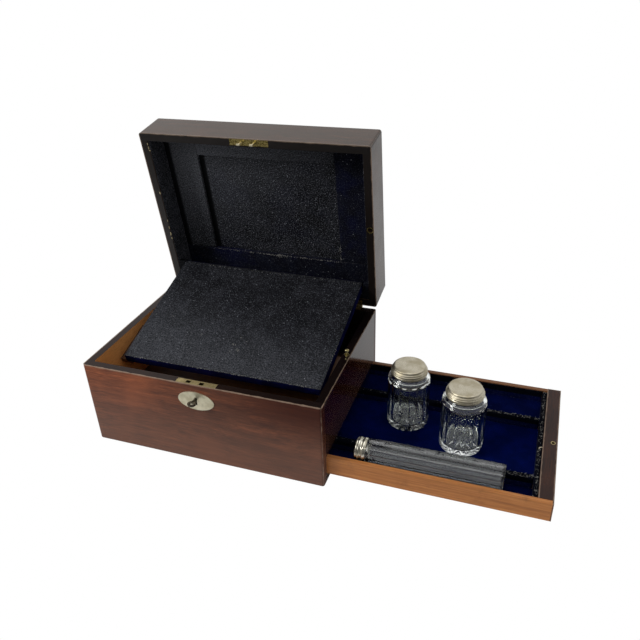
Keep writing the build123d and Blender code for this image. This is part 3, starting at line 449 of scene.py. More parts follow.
@dataclass(frozen=True)
class WornVelvet:
    """Silk velvet glued over card: a matt pile that catches light at grazing angles, with lint."""

    ground: str = "#07080b"
    nap: str = "#1b1c21"
    tint: str = "#080b1d"
    fleck: str = "#8b8e96"
    fray: str = "#8f8f8c"
    sheen: str = "#8d93b5"
    sheen_weight: float = 0.05
    gloss: float = 0.1
    speckle: float = 0.42
    fleck_share: float = 0.2
    tint_share: float = 0.35
    fray_share: float = 0.75
    fray_width: float = 0.9
    # painted light: the weights of X and Y towards which the pile is painted paler
    painted_light: tuple[float, float] = (0.0, 0.0)
    painted_light_mm: tuple[float, float] = (-60.0, 140.0)
    painted_light_share: float = 0.14
    # a band painted near black: its axis, start and end in millimetres
    dark: tuple[int, float, float] | None = None
    dark_band_black: str = "#040506"
    pile_mm: float = 1.6
    # the flecks' cells: their size in millimetres, how far a fleck reaches in its cell, and an offset
    fleck_cells: tuple[Triple, ...] = ((2.6, 0.26, 0.0), (7.5, 0.12, 40.0))

    def material(self, name: str, part: Part, limits: Limits) -> Material:
        """Make the velvet for one piece.

        Args:
            name: The material's name.
            part: The rigid part that the piece belongs to.
            limits: The piece's box, whose arrises are frayed.
        Returns:
            The material.
        """
        r = Recipe(name, part)
        x, y, z = r.split(r.level)
        mottle = r.fade(r.cloud(24.0, 4.0, None, 1.0, 0.6), 0.36, 0.66)
        colour = r.mix(mottle, self.ground, self.nap)
        stain = r.fade(r.cloud(48.0, 3.0, None, 9.0), 0.46, 0.66, 0.0, self.tint_share)
        colour = r.mix(stain, colour, self.tint)
        if any(self.painted_light):
            # painted light: the pile is painted paler towards one side
            pale = r.fade(r.weigh((x, y), self.painted_light), *self.painted_light_mm, 0.0, self.painted_light_share)
            colour = r.mix(pale, colour, self.fleck)
        # the pile is finer than this, and drawn in coarser tufts so that it shows
        pile = r.cloud(self.pile_mm, 3.0, None, 4.0, 0.8)
        colour = r.mix(r.fade(pile, 0.52, 0.70, 0.0, self.speckle), colour, self.fleck)
        colour = r.mix(r.fade(pile, 0.51, 0.36, 0.0, 0.9), colour, self.ground)
        least = 1 - self.fleck_share * 0.5
        for cell, reach, shift in self.fleck_cells:
            spots = r.add("ShaderNodeTexVoronoi", {
                "Vector": r.add("ShaderNodeVectorMath", {0: r.level, 1: (shift, shift, shift)},
                                operation="ADD"),
                "Scale": 1 / cell, "Randomness": 1.0}, None)
            near = r.fade(spots.outputs["Distance"], reach, reach * 0.45)
            picked = r.split(spots.outputs["Color"])[0]
            chosen = r.fade(picked, least, least + 0.02)
            speck = r.sum(r.sum(near, "MULTIPLY", chosen), "MULTIPLY", 0.8)
            colour = r.mix(speck, colour, self.fleck)
        if self.dark:
            # along one axis the pile is painted near black in a band: painted shade beside the lid's recess
            # step, in the lid's left corner and at the flap's back by the pivot, and darker towards the top
            # on the drawer's dividers and lining
            axis, start, end = self.dark
            uneven = r.sum((x, y, z)[axis], "ADD", r.sum(r.cloud(3.0, 3.0, None, 19.0), "MULTIPLY", 1.2))
            colour = r.mix(r.fade(uneven, start, end, 0.0, 0.93), colour, self.dark_band_black)
        ragged = r.sum(r.cloud(2.4, 4.0, None, 13.0, 0.75), "SUBTRACT", 0.42)
        edge = r.sum(r.arris(limits), "SUBTRACT", r.sum(ragged, "MULTIPLY", 6.0 * self.fray_width))
        worn = r.fade(edge, self.fray_width * 0.4, -self.fray_width * 0.5, 0.0, self.fray_share)
        colour = r.mix(worn, colour, self.fray)
        return r.finish(pile, 0.25, 0.55, Base_Color=colour, Roughness=0.9, IOR=1.4,
                        Specular_IOR_Level=self.gloss, Sheen_Weight=self.sheen_weight,
                        Sheen_Roughness=0.35, Sheen_Tint=linear(self.sheen))

    def lay(self, shape: "Shape", part: Part, limits: Limits, body: str, slot: str,
            name: str, *nodes: str) -> None:
        """Lay the velvet as a padded piece in the place of CAD nodes.

        Args:
            shape: Its form, in level coordinates.
            part: The rigid part that it belongs to.
            limits: The box whose arrises are frayed.
            body: The CAD body that it rides on.
            slot: The record's material slot.
            name: What the piece is named for.
            nodes: The CAD nodes that it stands for, where that isn't the name alone.
        """
        material = self.material(f"velvet_{name}", part, limits)
        piece = shape.moved(part.to_row()).piece(f"{name}_velvet", material, body, slot)
        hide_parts(*(nodes or (name,)))


@dataclass(frozen=True)
class OldMetal:
    """A cast or drawn metal fitting, hand polished and tarnished since, with fine scratches."""

    clean: str = "#b7a06a"
    tarnish: str = "#6d5d3a"
    roughness: float = 0.32
    tarnish_mm: float = 6.0
    share: float = 0.75
    rubbed_and_glint_below: float | None = None
    # the near-white colour painted on the hooks' tips as a glint
    rubbed: str = "#fff4cf"

    def material(self, name: str, part: Part = Part.BASE) -> Material:
        """Make the metal for one fitting."""
        r = Recipe(name, part)
        film = r.cloud(self.tarnish_mm, 4.0, None, 2.0, 0.6)
        spots = r.fade(r.cloud(1.6, 3.0, None, 6.0), 0.56, 0.70, 0.0, 0.5)
        cover = r.sum(r.fade(film, 0.36, 0.66, 0.0, self.share), "MAXIMUM", spots)
        below = self.rubbed_and_glint_below
        if below is not None:
            # below this height what stands out is rubbed clean of tarnish, partly as a painted glint
            height = r.split(r.level)[2]
            cover = r.sum(cover, "MULTIPLY", r.fade(height, below - 0.5, below))
        colour = r.mix(cover, self.clean, self.tarnish)
        if below is not None:
            # painted glint: below it the tips are painted near white
            colour = r.mix(r.fade(height, below, below - 0.3), colour, self.rubbed)
        scratch = r.cloud((9.0, 0.35, 0.35), 2.0, None, 3.0, 0.7)
        gloss = r.sum(r.sum(cover, "MULTIPLY", 0.22), "ADD", self.roughness)
        return r.finish(scratch, 0.02, 0.4, Base_Color=colour, Metallic=1.0, Roughness=gloss)


@dataclass(frozen=True)
class CutGlass:
    """Clear lead-free glass, moulded and wheel cut, faintly green in thick places."""

    tint: str = "#f7faf8"

    def material(self, name: str) -> Material:
        """Make the glass for one vessel."""
        r = Recipe(name)
        return r.finish(None, Base_Color=linear(self.tint), Roughness=0.015, IOR=1.5,
                        Transmission_Weight=1.0)


@dataclass(frozen=True)
class CottonLint:
    """Loose threads and dust caught in the pile: dull off-white cotton."""

    colour: str = "#a8a69f"
    shade: str = "#6f6e6a"

    def material(self, name: str, colour: str = "", shade: str = "") -> Material:
        """Make the thread's material, or that of old glue in two colours of its own."""
        r = Recipe(name)
        colour = r.mix(r.cloud(3.0, 2.0), colour or self.colour, shade or self.shade)
        return r.finish(None, Base_Color=colour, Roughness=0.95, Specular_IOR_Level=0.2)


ROSEWOOD = PolishedRosewood()
PLAIN_WOOD = WaxedPlainWood()
BRASS = OldMetal(clean="#c4b17f", tarnish="#7c6d4c")
SILVER = OldMetal(clean="#c2bba8", tarnish="#a0967d", roughness=0.26, tarnish_mm=14.0, share=0.8)
NICKEL = OldMetal(clean="#e2dcc2", tarnish="#c4bda0", roughness=0.36, tarnish_mm=10.0)
STEEL = OldMetal(clean="#5d574c", tarnish="#332d25", roughness=0.38, tarnish_mm=3.0)
GLASS = CutGlass()
LINT = CottonLint()


def put(name: str, data: Any) -> Object:
    """Make an object of its data and link it to the scene."""
    made = bpy.data.objects.new(name, data)
    bpy.context.scene.collection.objects.link(made)
    return made


def put_piece(name: str, mesh: Mesh, body: str) -> Object:
    """Make a finished mesh's object, at the origin.

    Args:
        name: The object's name.
        mesh: The mesh, in the row frame.
        body: The CAD body that it rides on.
    Returns:
        The object.
    """
    piece = put(name, mesh)
    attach(piece, body)
    log.info("%s: %d faces, rides on %s", name, len(mesh.polygons), body)
    return piece

@dataclass
class Shape:
    """A mesh while it is being made, as points and faces."""

    points: list[Vector] = field(default_factory=list)
    faces: list[tuple[int, ...]] = field(default_factory=list)

    def join(self, other: "Shape") -> "Shape":
        """Add another shape's points and faces to this one and return it."""
        start = len(self.points)
        self.points += other.points
        self.faces += [tuple(i + start for i in face) for face in other.faces]
        return self

    def moved(self, matrix: Matrix) -> "Shape":
        """Return a copy placed by a matrix."""
        return Shape([matrix @ p for p in self.points], list(self.faces))

    def piece(self, name: str, material: Material, body: str, slot: str,
              angle: float = 40.0) -> Object:
        """Make the Blender object.

        Args:
            name: The object's name.
            material: Its material.
            body: The CAD body that it rides on.
            slot: Not used.
            angle: The arrises sharper than this stay sharp, in degrees.
        Returns:
            The object, at the origin.
        """
        mesh = bpy.data.meshes.new(name)
        mesh.from_pydata(self.points, [], self.faces)
        work = bmesh.new()
        work.from_mesh(mesh)
        bmesh.ops.remove_doubles(work, verts=work.verts, dist=1e-7)
        bmesh.ops.recalc_face_normals(work, faces=work.faces)
        work.to_mesh(mesh)
        work.free()
        mesh.polygons.foreach_set("use_smooth", [True] * len(mesh.polygons))
        mesh.set_sharp_from_angle(angle=math.radians(angle))
        mesh.materials.append(material)
        return put_piece(name, mesh, body)


def stops(low: float, high: float, radius: float, cell: float) -> list[float]:
    """Divide a length into cells, with finer ones inside the rounding at each end.

    Args:
        low: The start.
        high: The end.
        radius: The rounding.
        cell: The size of a cell in the middle.
    Returns:
        The places, in order.
    """
    ends = [0.0, 0.12 * radius, 0.45 * radius, radius]
    count = max(1, round((high - low - 2 * radius) / cell))
    middle = [low + radius + (high - low - 2 * radius) * i / count for i in range(1, count)]
    return [low + e for e in ends] + middle + [high - e for e in reversed(ends)]


def soft_slab(limits: Limits, radius: float, cell: float = 0.005, wave: float = 0.0002,
              crown: float = 0.0, seed: float = 0.0) -> Shape:
    """A cloth-covered slab: rounded all round, a little uneven, and crowned on top if wanted.

    Args:
        limits: Its box in level coordinates, in metres.
        radius: The rounding of its arrises.
        cell: The size of a cell of its mesh.
        wave: How far the cloth wavers.
        crown: How far its top swells in the middle.
        seed: An offset, so that two slabs differ.
    Returns:
        The closed shape, in level coordinates.
    """
    low, high = Vector(limits.low), Vector(limits.high)
    radius = min(radius, *(0.49 * (h - l) for l, h in zip(low, high)))
    grid = [stops(low[i], high[i], radius, cell) for i in range(3)]
    count = [len(g) - 1 for g in grid]
    index: dict[tuple[int, int, int], int] = {}
    shape = Shape()

    def corner(key: tuple[int, int, int]) -> int:
        """The number of the point at a place of the grid, made where it is new."""
        if key not in index:
            raw = Vector(grid[i][key[i]] for i in range(3))
            core = Vector(min(max(raw[i], low[i] + radius), high[i] - radius) for i in range(3))
            out = (raw - core).normalized()
            spread = [4 * (raw[i] - low[i]) * (high[i] - raw[i]) / (high[i] - low[i]) ** 2 for i in (0, 1)]
            swell = crown * (1 - (1 - spread[0]) ** 3) * (1 - (1 - spread[1]) ** 3) * max(out.z, 0.0)
            waver = wave * noise.noise(raw * 70 + Vector((seed, seed, seed)))
            index[key] = len(shape.points)
            shape.points.append(core + out * (radius + waver - wave * 0.5) + Vector((0, 0, swell)))
        return index[key]

    for axis in range(3):
        a, b = (axis + 1) % 3, (axis + 2) % 3
        for side in (0, count[axis]):
            for i in range(count[a]):
                for j in range(count[b]):
                    ring = []
                    for di, dj in ((0, 0), (1, 0), (1, 1), (0, 1)):
                        key = [0, 0, 0]
                        key[axis], key[a], key[b] = side, i + di, j + dj
                        ring.append(corner(tuple(key)))
                    shape.faces.append(tuple(ring))
    return shape


def turned(profile: list[tuple[float, float]], around: int = 96,
           radius_at: Callable[[float, float, float], float] | None = None,
           lift_at: Callable[[float, float], float] | None = None) -> Shape:
    """Spin a half outline round the Z axis into a closed shape.

    Args:
        profile: Radius and height from pole to pole, in metres; its first and last radius are 0.
        around: The number of steps round.
        radius_at: Gives the radius for a place's radius, height and angle.
        lift_at: Gives what is added to the height for a radius and angle, on the first ring run.
    Returns:
        The closed shape.
    """
    shape = Shape()
    rings: list[list[int]] = []
    for radius, height in profile:
        if radius == 0.0:
            rings.append([len(shape.points)])
            shape.points.append(Vector((0.0, 0.0, height)))
            continue
        ring = []
        for step in range(around):
            angle = 2 * math.pi * step / around
            r = radius_at(radius, height, angle) if radius_at else radius
            z = height + (lift_at(r, angle) if lift_at and height < 1e-9 else 0.0)
            ring.append(len(shape.points))
            shape.points.append(Vector((r * math.cos(angle), r * math.sin(angle), z)))
        rings.append(ring)
    for below, above in zip(rings, rings[1:]):
        for i in range(around):
            j = (i + 1) % around
            if len(below) == 1:
                shape.faces.append((below[0], above[j], above[i]))
            elif len(above) == 1:
                shape.faces.append((below[i], below[j], above[0]))
            else:
                shape.faces.append((below[i], below[j], above[j], above[i]))
    return shape


def fluted(radius: float, depth: float, count: int, angle: float, share: float = 1.0) -> float:
    """Cut hollow flutes into a round body.

    Args:
        radius: The uncut radius at the place, kept at the arrises.
        depth: The depth of a flute in its middle.
        count: The number of flutes.
        angle: The place's angle.
        share: How much of the cut is made; where it's less than 1, the rest is taken off evenly.
    Returns:
        The radius at the place.
    """
    half = math.pi / count
    across = ((angle % (2 * half)) - half) / half
    return radius - depth * (share * (1 - across * across) + 0.6 * (1 - share))


def rounded_profile(points: list[Triple], steps: int = 5) -> list[tuple[float, float]]:
    """Round the corners of an outline.

    Args:
        points: Radius, height and rounding of each corner, in metres.
        steps: The steps in each rounding.
    Returns:
        Radius and height of each point of the rounded outline.
    """
    result: list[tuple[float, float]] = []
    for i, (x, y, rounding) in enumerate(points):
        if rounding == 0.0 or i in (0, len(points) - 1):
            result.append((x, y))
            continue
        here = Vector((x, y))
        before = Vector(points[i - 1][:2]) - here
        after = Vector(points[i + 1][:2]) - here
        reach = min(rounding, before.length * 0.49, after.length * 0.49)
        start, end = here + before.normalized() * reach, here + after.normalized() * reach
        for step in range(steps + 1):
            t = step / steps
            spot = start * (1 - t) ** 2 + here * 2 * t * (1 - t) + end * t ** 2
            result.append((max(spot.x, 0.0), spot.y))
    return result


def dress(names: dict[str, Material]) -> None:
    """Give CAD nodes that stay their materials.

    Args:
        names: The material of each node.
    """
    for name, material in names.items():
        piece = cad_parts[name]
        piece.data.materials.clear()
        piece.data.materials.append(material)
        log.info("%s: CAD piece in %s", name, material.name)


@dataclass
class Fibres:
    """Threads of lint strewn over strips of a surface by Geometry Nodes."""

    length: float = 0.0024
    radius: float = 0.00011
    density: float = 60000.0
    bend: float = 2.1
    lean: float = 0.5
    shortest: float = 0.35

    def tree(self) -> NodeTree:
        """Build the node tree with its named inputs."""
        tree = bpy.data.node_groups.new("strew_lint", "GeometryNodeTree")
        for name, kind in (("Geometry", "Geometry"), ("Threads per square metre", "Float"),
                           ("Thread length", "Float"), ("Thread radius", "Float"), ("Seed", "Int"),
                           ("Thread material", "Material")):
            tree.interface.new_socket(name, in_out="INPUT", socket_type=f"NodeSocket{kind}")
        tree.interface.new_socket("Geometry", in_out="OUTPUT", socket_type="NodeSocketGeometry")
        n = Nodes(tree)
        given = n.add("NodeGroupInput", out=None).outputs
        seed = given["Seed"]
        spread = n.add("GeometryNodeDistributePointsOnFaces", {
            "Mesh": given["Geometry"], "Density": given["Threads per square metre"], "Seed": seed})
        arc = n.add("GeometryNodeCurveArc", {
            "Resolution": 5, "Sweep Angle": self.bend, "Radius": given["Thread length"]})
        circle = n.add("GeometryNodeCurvePrimitiveCircle", {
            "Resolution": 3, "Radius": given["Thread radius"]})
        thread = n.add("GeometryNodeCurveToMesh", {"Curve": arc, "Profile Curve": circle})
        turn = n.add("FunctionNodeRandomValue", {
            0: (-self.lean, -self.lean, 0.0), 1: (self.lean, self.lean, 6.28), "Seed": seed},
            data_type="FLOAT_VECTOR")
        size = n.add("FunctionNodeRandomValue", {2: self.shortest, 3: 1.0, "Seed": seed}, 1)
        strewn = n.add("GeometryNodeInstanceOnPoints", {
            "Points": spread, "Instance": thread, "Rotation": turn, "Scale": size})
        real = n.add("GeometryNodeRealizeInstances", {"Geometry": strewn})
        paint = n.add("GeometryNodeSetMaterial", {"Geometry": real, "Material": given["Thread material"]})
        n.add("NodeGroupOutput", {"Geometry": paint}, None)
        return tree

    def strew(self, name: str, strips: Shape, body: str, seed: int, share: float = 1.0) -> None:
        """Strew lint over strips and keep the result as one mesh.

        Args:
            name: The object's name.
            strips: The faces to strew, in the row frame.
            body: The CAD body that the lint rides on.
            seed: The seed of the random places.
            share: How dense the lint is, against the usual.
        """
        mesh = bpy.data.meshes.new(name + "_host")
        mesh.from_pydata(strips.points, [], strips.faces)
        host = put(name + "_host", mesh)
        modifier = host.modifiers.new("lint", "NODES")
        modifier.node_group = bpy.data.node_groups.get("strew_lint") or self.tree()
        material = bpy.data.materials.get("cotton_lint") or LINT.material("cotton_lint")
        values = {"Threads per square metre": self.density * share, "Thread length": self.length / 2,
                  "Thread radius": self.radius, "Seed": seed, "Thread material": material}
        for socket in modifier.node_group.interface.items_tree:
            if socket.in_out == "INPUT" and socket.name in values:
                modifier[socket.identifier] = values[socket.name]
        evaluated = host.evaluated_get(bpy.context.evaluated_depsgraph_get())
        made = bpy.data.meshes.new_from_object(evaluated)
        bpy.data.objects.remove(host)
        made.name = name
        if not made.materials:
            made.materials.append(material)
        put_piece(name, made, body)


def strip(x0: float, x1: float, y0: float, y1: float, z: float) -> Shape:
    """A level strip to strew lint on, in metres."""
    corners = [Vector(p) for p in ((x0, y0, z), (x1, y0, z), (x1, y1, z), (x0, y1, z))]
    return Shape(corners, [(0, 1, 2, 3)])


def chips(name: str, part: Part, body: str, slot: str, material: Material,
          spots: list[tuple[float, float, float, float]], up: float, seed: int) -> None:
    """Lay small ragged chips on a level face, as one piece.

    Args:
        name: The object's name.
        part: The rigid part in whose level coordinates the spots are.
        body: The CAD body that the chips ride on.
        slot: The record's material slot.
        material: Their material.
        spots: For each chip its X, its Y, its width and its length along Y, in metres.
        up: The height of the face; the chips stand out of it, down where it is the lid's rim.
        seed: The seed of their outlines.
    """
    draw = random.Random(seed)
    rise = 0.00012
    out = -rise if part is Part.LID else rise
    shape = Shape()
    for x, y, wide, long in spots:
        start, count = len(shape.points), 9
        for level in (up - out, up + out):
            for step in range(count):
                angle = 2 * math.pi * step / count
                reach = 0.5 * draw.uniform(0.6, 1.0) if level < up else 0.5
                shape.points.append(Vector((x + wide * reach * math.cos(angle),
                                            y + long * reach * math.sin(angle), level)))
        shape.faces.append(tuple(start + i for i in range(count)))
        shape.faces.append(tuple(start + count + i for i in reversed(range(count))))
        for i in range(count):
            j = (i + 1) % count
            shape.faces.append((start + i, start + count + i, start + count + j, start + j))
    shape.moved(part.to_row()).piece(name, material, body, slot)


@dataclass
class Base:
    """The lower box: rosewood outside, plain wood inside."""

    def build(self) -> None:
        """Dress the boards."""
        # the way of the grain, then how light the board is, how rough its polish is and how much it mirrors
        around, left, right = (
            ROSEWOOD.material(f"rosewood_base_{name}", Part.BASE, BASE_LIMITS, grain, *looks)
            for name, grain, looks in (("long", Grain.ROUND, (1.1, 0.2, 0.13)),
                                       ("left", Grain.ALONG_Y, (1.0, 0.2, 0.13)),
                                       # the right board is painted darker: painted shade on the end turned
                                       # away from the window
                                       ("right", Grain.ALONG_Y, (0.62, 0.11))))
        dress({"front_board": around, "back_board": around, "left_board": left,
               "right_board": right, "drawer_sill": right})
        # the compartment floor and the slope ledges are painted near black: painted shade under the flap
        PLAIN_WOOD.boards({
            "bottom_board": (Grain.ALONG_X, 0.7), "drawer_runners": (Grain.ALONG_X, 0.8),
            "compartment_floor": (Grain.ALONG_X, 0.25), "slope_ledges": (Grain.ALONG_Y, 0.2)})


@dataclass
class Fittings:
    """The lock, its plates, the hinges and the drawer pin."""

    def build(self) -> None:
        """Dress the metal pieces."""
        brass = BRASS.material("aged_brass")
        # the hooks that stand below the lid are rubbed clean and carry a painted glint
        lid_brass = OldMetal(clean="#c0ae6c", tarnish="#564c2a", tarnish_mm=1.8, share=1.0,
                             rubbed_and_glint_below=113.9).material("aged_brass_lid", Part.LID)
        dress({name: brass for name in (
            "lock_case", "lock_plate", "lock_bolt", "pin_eyelet", "hinge_pins",
            "hinge_base_screws", "left_hinge_base_leaf", "right_hinge_base_leaf", "flap_pivots")})
        dress({name: lid_brass for name in (
            "hook_plate", "socket_ring", "hinge_lid_screws", "left_hinge_lid_leaf", "right_hinge_lid_leaf")})
        bright = OldMetal(clean="#cdc08f", tarnish="#8f8053", roughness=0.24).material("rubbed_brass")
        dress({"drawer_pin": bright, "pin_bush": bright})
        dress({"escutcheon": NICKEL.material("dull_nickel"), "key": STEEL.material("blued_steel")})


@dataclass
class Lid:
    """The lid: rosewood rails and top, lined with worn velvet round a sunk panel."""

    body: str = "lid"
    slot: str = "speckled_cloth"
    rounding: float = 0.0009
    rim: float = 0.1143

    def build(self) -> None:
        """Dress the rails and lay the velvet."""
        around = ROSEWOOD.material("rosewood_lid_long", Part.LID, LID_LIMITS, Grain.ROUND, 0.7, 0.2, 0.3)
        # the end rails are painted lighter than the long ones: a painted reflection of the pale surround on
        # the lid's right face
        ends = ROSEWOOD.material("rosewood_lid_ends", Part.LID, LID_LIMITS, Grain.ALONG_Y, 0.84, 0.2, 0.25)
        dress({"lid_top": around, "lid_front_rail": around, "lid_back_rail": around,
               "lid_left_rail": ends, "lid_right_rail": ends})
        # painted light: the velvet is painted paler on the side that faces the window and towards the front
        # rail than at the far corner
        pale = WornVelvet(painted_light=(-0.5, -0.85), painted_light_mm=(-30.0, 160.0), painted_light_share=0.24, speckle=0.56,
                          fray_share=0.35, fray_width=0.5)
        dim = WornVelvet(ground="#050610", nap="#0d0f1c", tint="#060a28", speckle=0.16, fleck_share=0.15,
                         tint_share=0.8, fray_share=0.3, fray_width=0.5)
        finishes = {
            # the dark bands are painted shade: beside the recess's left step and in the left corner by the
            # wall
            "lid_recess_panel": replace(pale, fray_share=0.0, fray_width=0.9, dark=(0, -86.0, -88.5)),
            "lid_frame_left": replace(pale, dark=(0, -131.0, -135.5), painted_light_share=0.38),
            "lid_frame_top": replace(pale, painted_light_share=0.46),
            "lid_frame_right": dim,
            "lid_frame_bottom": replace(dim, nap="#0b0e1b", tint="#050826", speckle=0.12, fleck_share=0.12,
                                        fray="#5f5e5a", fray_share=0.4)}
        for seed, (name, finish) in enumerate(finishes.items()):
            limits = node_limits(name, Part.LID)
            shape = soft_slab(limits, self.rounding, seed=seed * 7.0)
            finish.lay(shape, Part.LID, limits, self.body, self.slot, name)
        self.walls()
        matted = WornVelvet(ground="#040507", nap="#0a0b0e", speckle=0.1, fleck_share=0.05, fray_share=0.0)
        for name in ("flap_ledge", "flap_pivot_blocks"):
            limits = node_limits(name, Part.LID)
            dress({name: matted.material(f"velvet_{name}", Part.LID, limits)})
        self.wear()

    def walls(self) -> None:
        """Lay the velvet on the four inner walls."""
        limits = node_limits("lid_wall_lining", Part.LID)
        (x0, y0, z0), (x1, y1, z1) = limits.low, limits.high
        thick = MM
        strips = [Limits((x0, y0, z0), (x0 + thick, y1, z1)), Limits((x1 - thick, y0, z0), (x1, y1, z1)),
                  Limits((x0 + thick, y0, z0), (x1 - thick, y0 + thick, z1)),
                  Limits((x0 + thick, y1 - thick, z0), (x1 - thick, y1, z1 - 0.0008))]
        shape = Shape()
        for seed, part in enumerate(strips):
            shape.join(soft_slab(part, 0.0004, 0.004, 0.0002, seed=seed * 3.0))
        # painted light: the wall velvet is painted paler, most on the left wall, which lies in shade
        finish = WornVelvet(nap="#2e2f36", speckle=0.6, fray="#6b675a", fray_share=0.6, fray_width=0.4,
                            painted_light=(-1.0, 0.0), painted_light_mm=(100.0, 140.0), painted_light_share=0.12)
        finish.lay(shape, Part.LID, limits, self.body, self.slot, "lid_wall", "lid_wall_lining")

    def wear(self) -> None:
        """Lay the lint along the panel's worn lower edge and the chips of the left rim."""
        bottom = node_limits("lid_frame_bottom", Part.LID)
        right = node_limits("lid_frame_right", Part.LID)
        edge, face = bottom.low[1], bottom.low[2] + LINT_LIFT
        place = Part.LID.to_row()
        line = strip(-0.093, 0.093, edge, edge + 0.0010, face)
        line.join(strip(0.000, 0.018, edge - 0.001, edge + 0.004, face))
        line.join(strip(right.low[0] - 0.0004, right.low[0] + 0.0008, edge - 0.024, edge, face))
        Fibres(0.003, 0.00022).strew("lid_lint", line.moved(place), self.body, 11, 14.0)
        seam = strip(-0.139, -0.085, 0.1118, 0.1128, face)
        Fibres().strew("lid_corner_lint", seam.moved(place), self.body, 12, 8.0)
        cream = LINT.material("cream_glue", "#b7aa88", "#7d7152")
        spots = [(-0.1430, -0.0995, 0.0012, 0.0030), (-0.1428, -0.0940, 0.0010, 0.0060),
                 (-0.1421, -0.0905, 0.0022, 0.0012), (-0.1431, -0.0300, 0.0018, 0.0044),
                 (-0.1424, 0.0120, 0.0010, 0.0040), (-0.1424, 0.0230, 0.0012, 0.0050),
                 (-0.1426, 0.0330, 0.0016, 0.0060), (-0.1424, 0.0400, 0.0012, 0.0040)]
        chips("lid_rim_chips", Part.LID, self.body, self.slot, cream, spots, self.rim, 5)


@dataclass
class Flap:
    """The writing flap: a board with speckled cloth on top and velvet round its edges."""

    body: str = "flap"
    rounding: float = 0.0026

    def build(self) -> None:
        """Lay the cloth and the velvet."""
        velvet_box = node_limits("flap_edge_cloth", Part.FLAP)
        top_box = node_limits("flap_top_cloth", Part.FLAP)
        under = soft_slab(velvet_box, self.rounding, 0.006, 0.0003, seed=2.0)
        self.round_back(under, velvet_box)
        # its dark band at the back is painted shade by the pivot
        edge = WornVelvet(ground="#03051c", nap="#070a36", tint="#0d0829", fleck="#4a5080", fray="#030408",
                          sheen="#2a30c0", sheen_weight=0.04, gloss=0.02, speckle=0.08, fleck_share=0.05,
                          tint_share=0.5, fray_share=0.9, dark=(1, -6.0, -2.0))
        edge.lay(under, Part.FLAP, velvet_box, self.body, "navy_velvet", "flap_edge",
                 "flap_edge_cloth", "flap_board")
        over = soft_slab(top_box.moved((0.0006, 0.0006, -0.0002), (-0.0006, -0.0022, 0.0)),
                         0.0005, 0.005, 0.0002, seed=5.0)
        # painted light: the top cloth is painted paler towards the front and the left
        finish = WornVelvet(ground="#090a0d", nap="#1b1c20", tint="#0c0d13", fray="#77777a",
                            fleck_share=0.10, speckle=0.26, fray_share=0.55, fray_width=0.45,
                            painted_light=(-0.25, -1.0), painted_light_mm=(60.0, 190.0), painted_light_share=0.11)
        finish.lay(over, Part.FLAP, top_box, self.body, "speckled_cloth", "flap_top", "flap_top_cloth")
        self.lint(top_box)

    def lint(self, top: Limits) -> None:
        """Strew lint along the worn front edge and where a few tufts lie.

        Args:
            top: The top cloth's box.
        """
        face = top.high[2]
        (x0, y0, _), (x1, _, _) = top.low, top.high
        strips = strip(x0 + 0.004, x1 - 0.010, y0 + 0.0006, y0 + 0.0020, face)
        strips.join(strip(x0 + 0.010, x1 - 0.004, -0.0034, -0.0028, face))
        strips.join(strip(x1 - 0.0016, x1 - 0.0006, y0 + 0.04, y0 + 0.075, face))
        for x, y, size in ((0.0049, -0.1388, 0.004), (0.0132, -0.1456, 0.005), (0.0097, -0.124, 0.003),
                           (0.0229, -0.0764, 0.002), (-0.1234, -0.1079, 0.002), (-0.0967, -0.1066, 0.003),
                           (-0.0444, -0.1294, 0.002), (0.003, -0.150, 0.003), (0.018, -0.130, 0.002)):
            strips.join(strip(x - size / 2, x + size / 2, y - size / 2, y + size / 2, face))
        Fibres(0.0022, 0.00018).strew("flap_lint", strips.moved(Part.FLAP.to_row()), self.body,
                                      21, 9.0)

    def round_back(self, shape: Shape, limits: Limits) -> None:
        """Round the back edge about the pivot, as the board is.

        Args:
            shape: The slab, changed in place.
            limits: The slab's box.
        """
        reach = limits.high[1] + 0.00005
        for point in shape.points:
            if point.y > 0:
                point.z *= math.sqrt(max(0.0, 1 - (point.y / reach) ** 2))


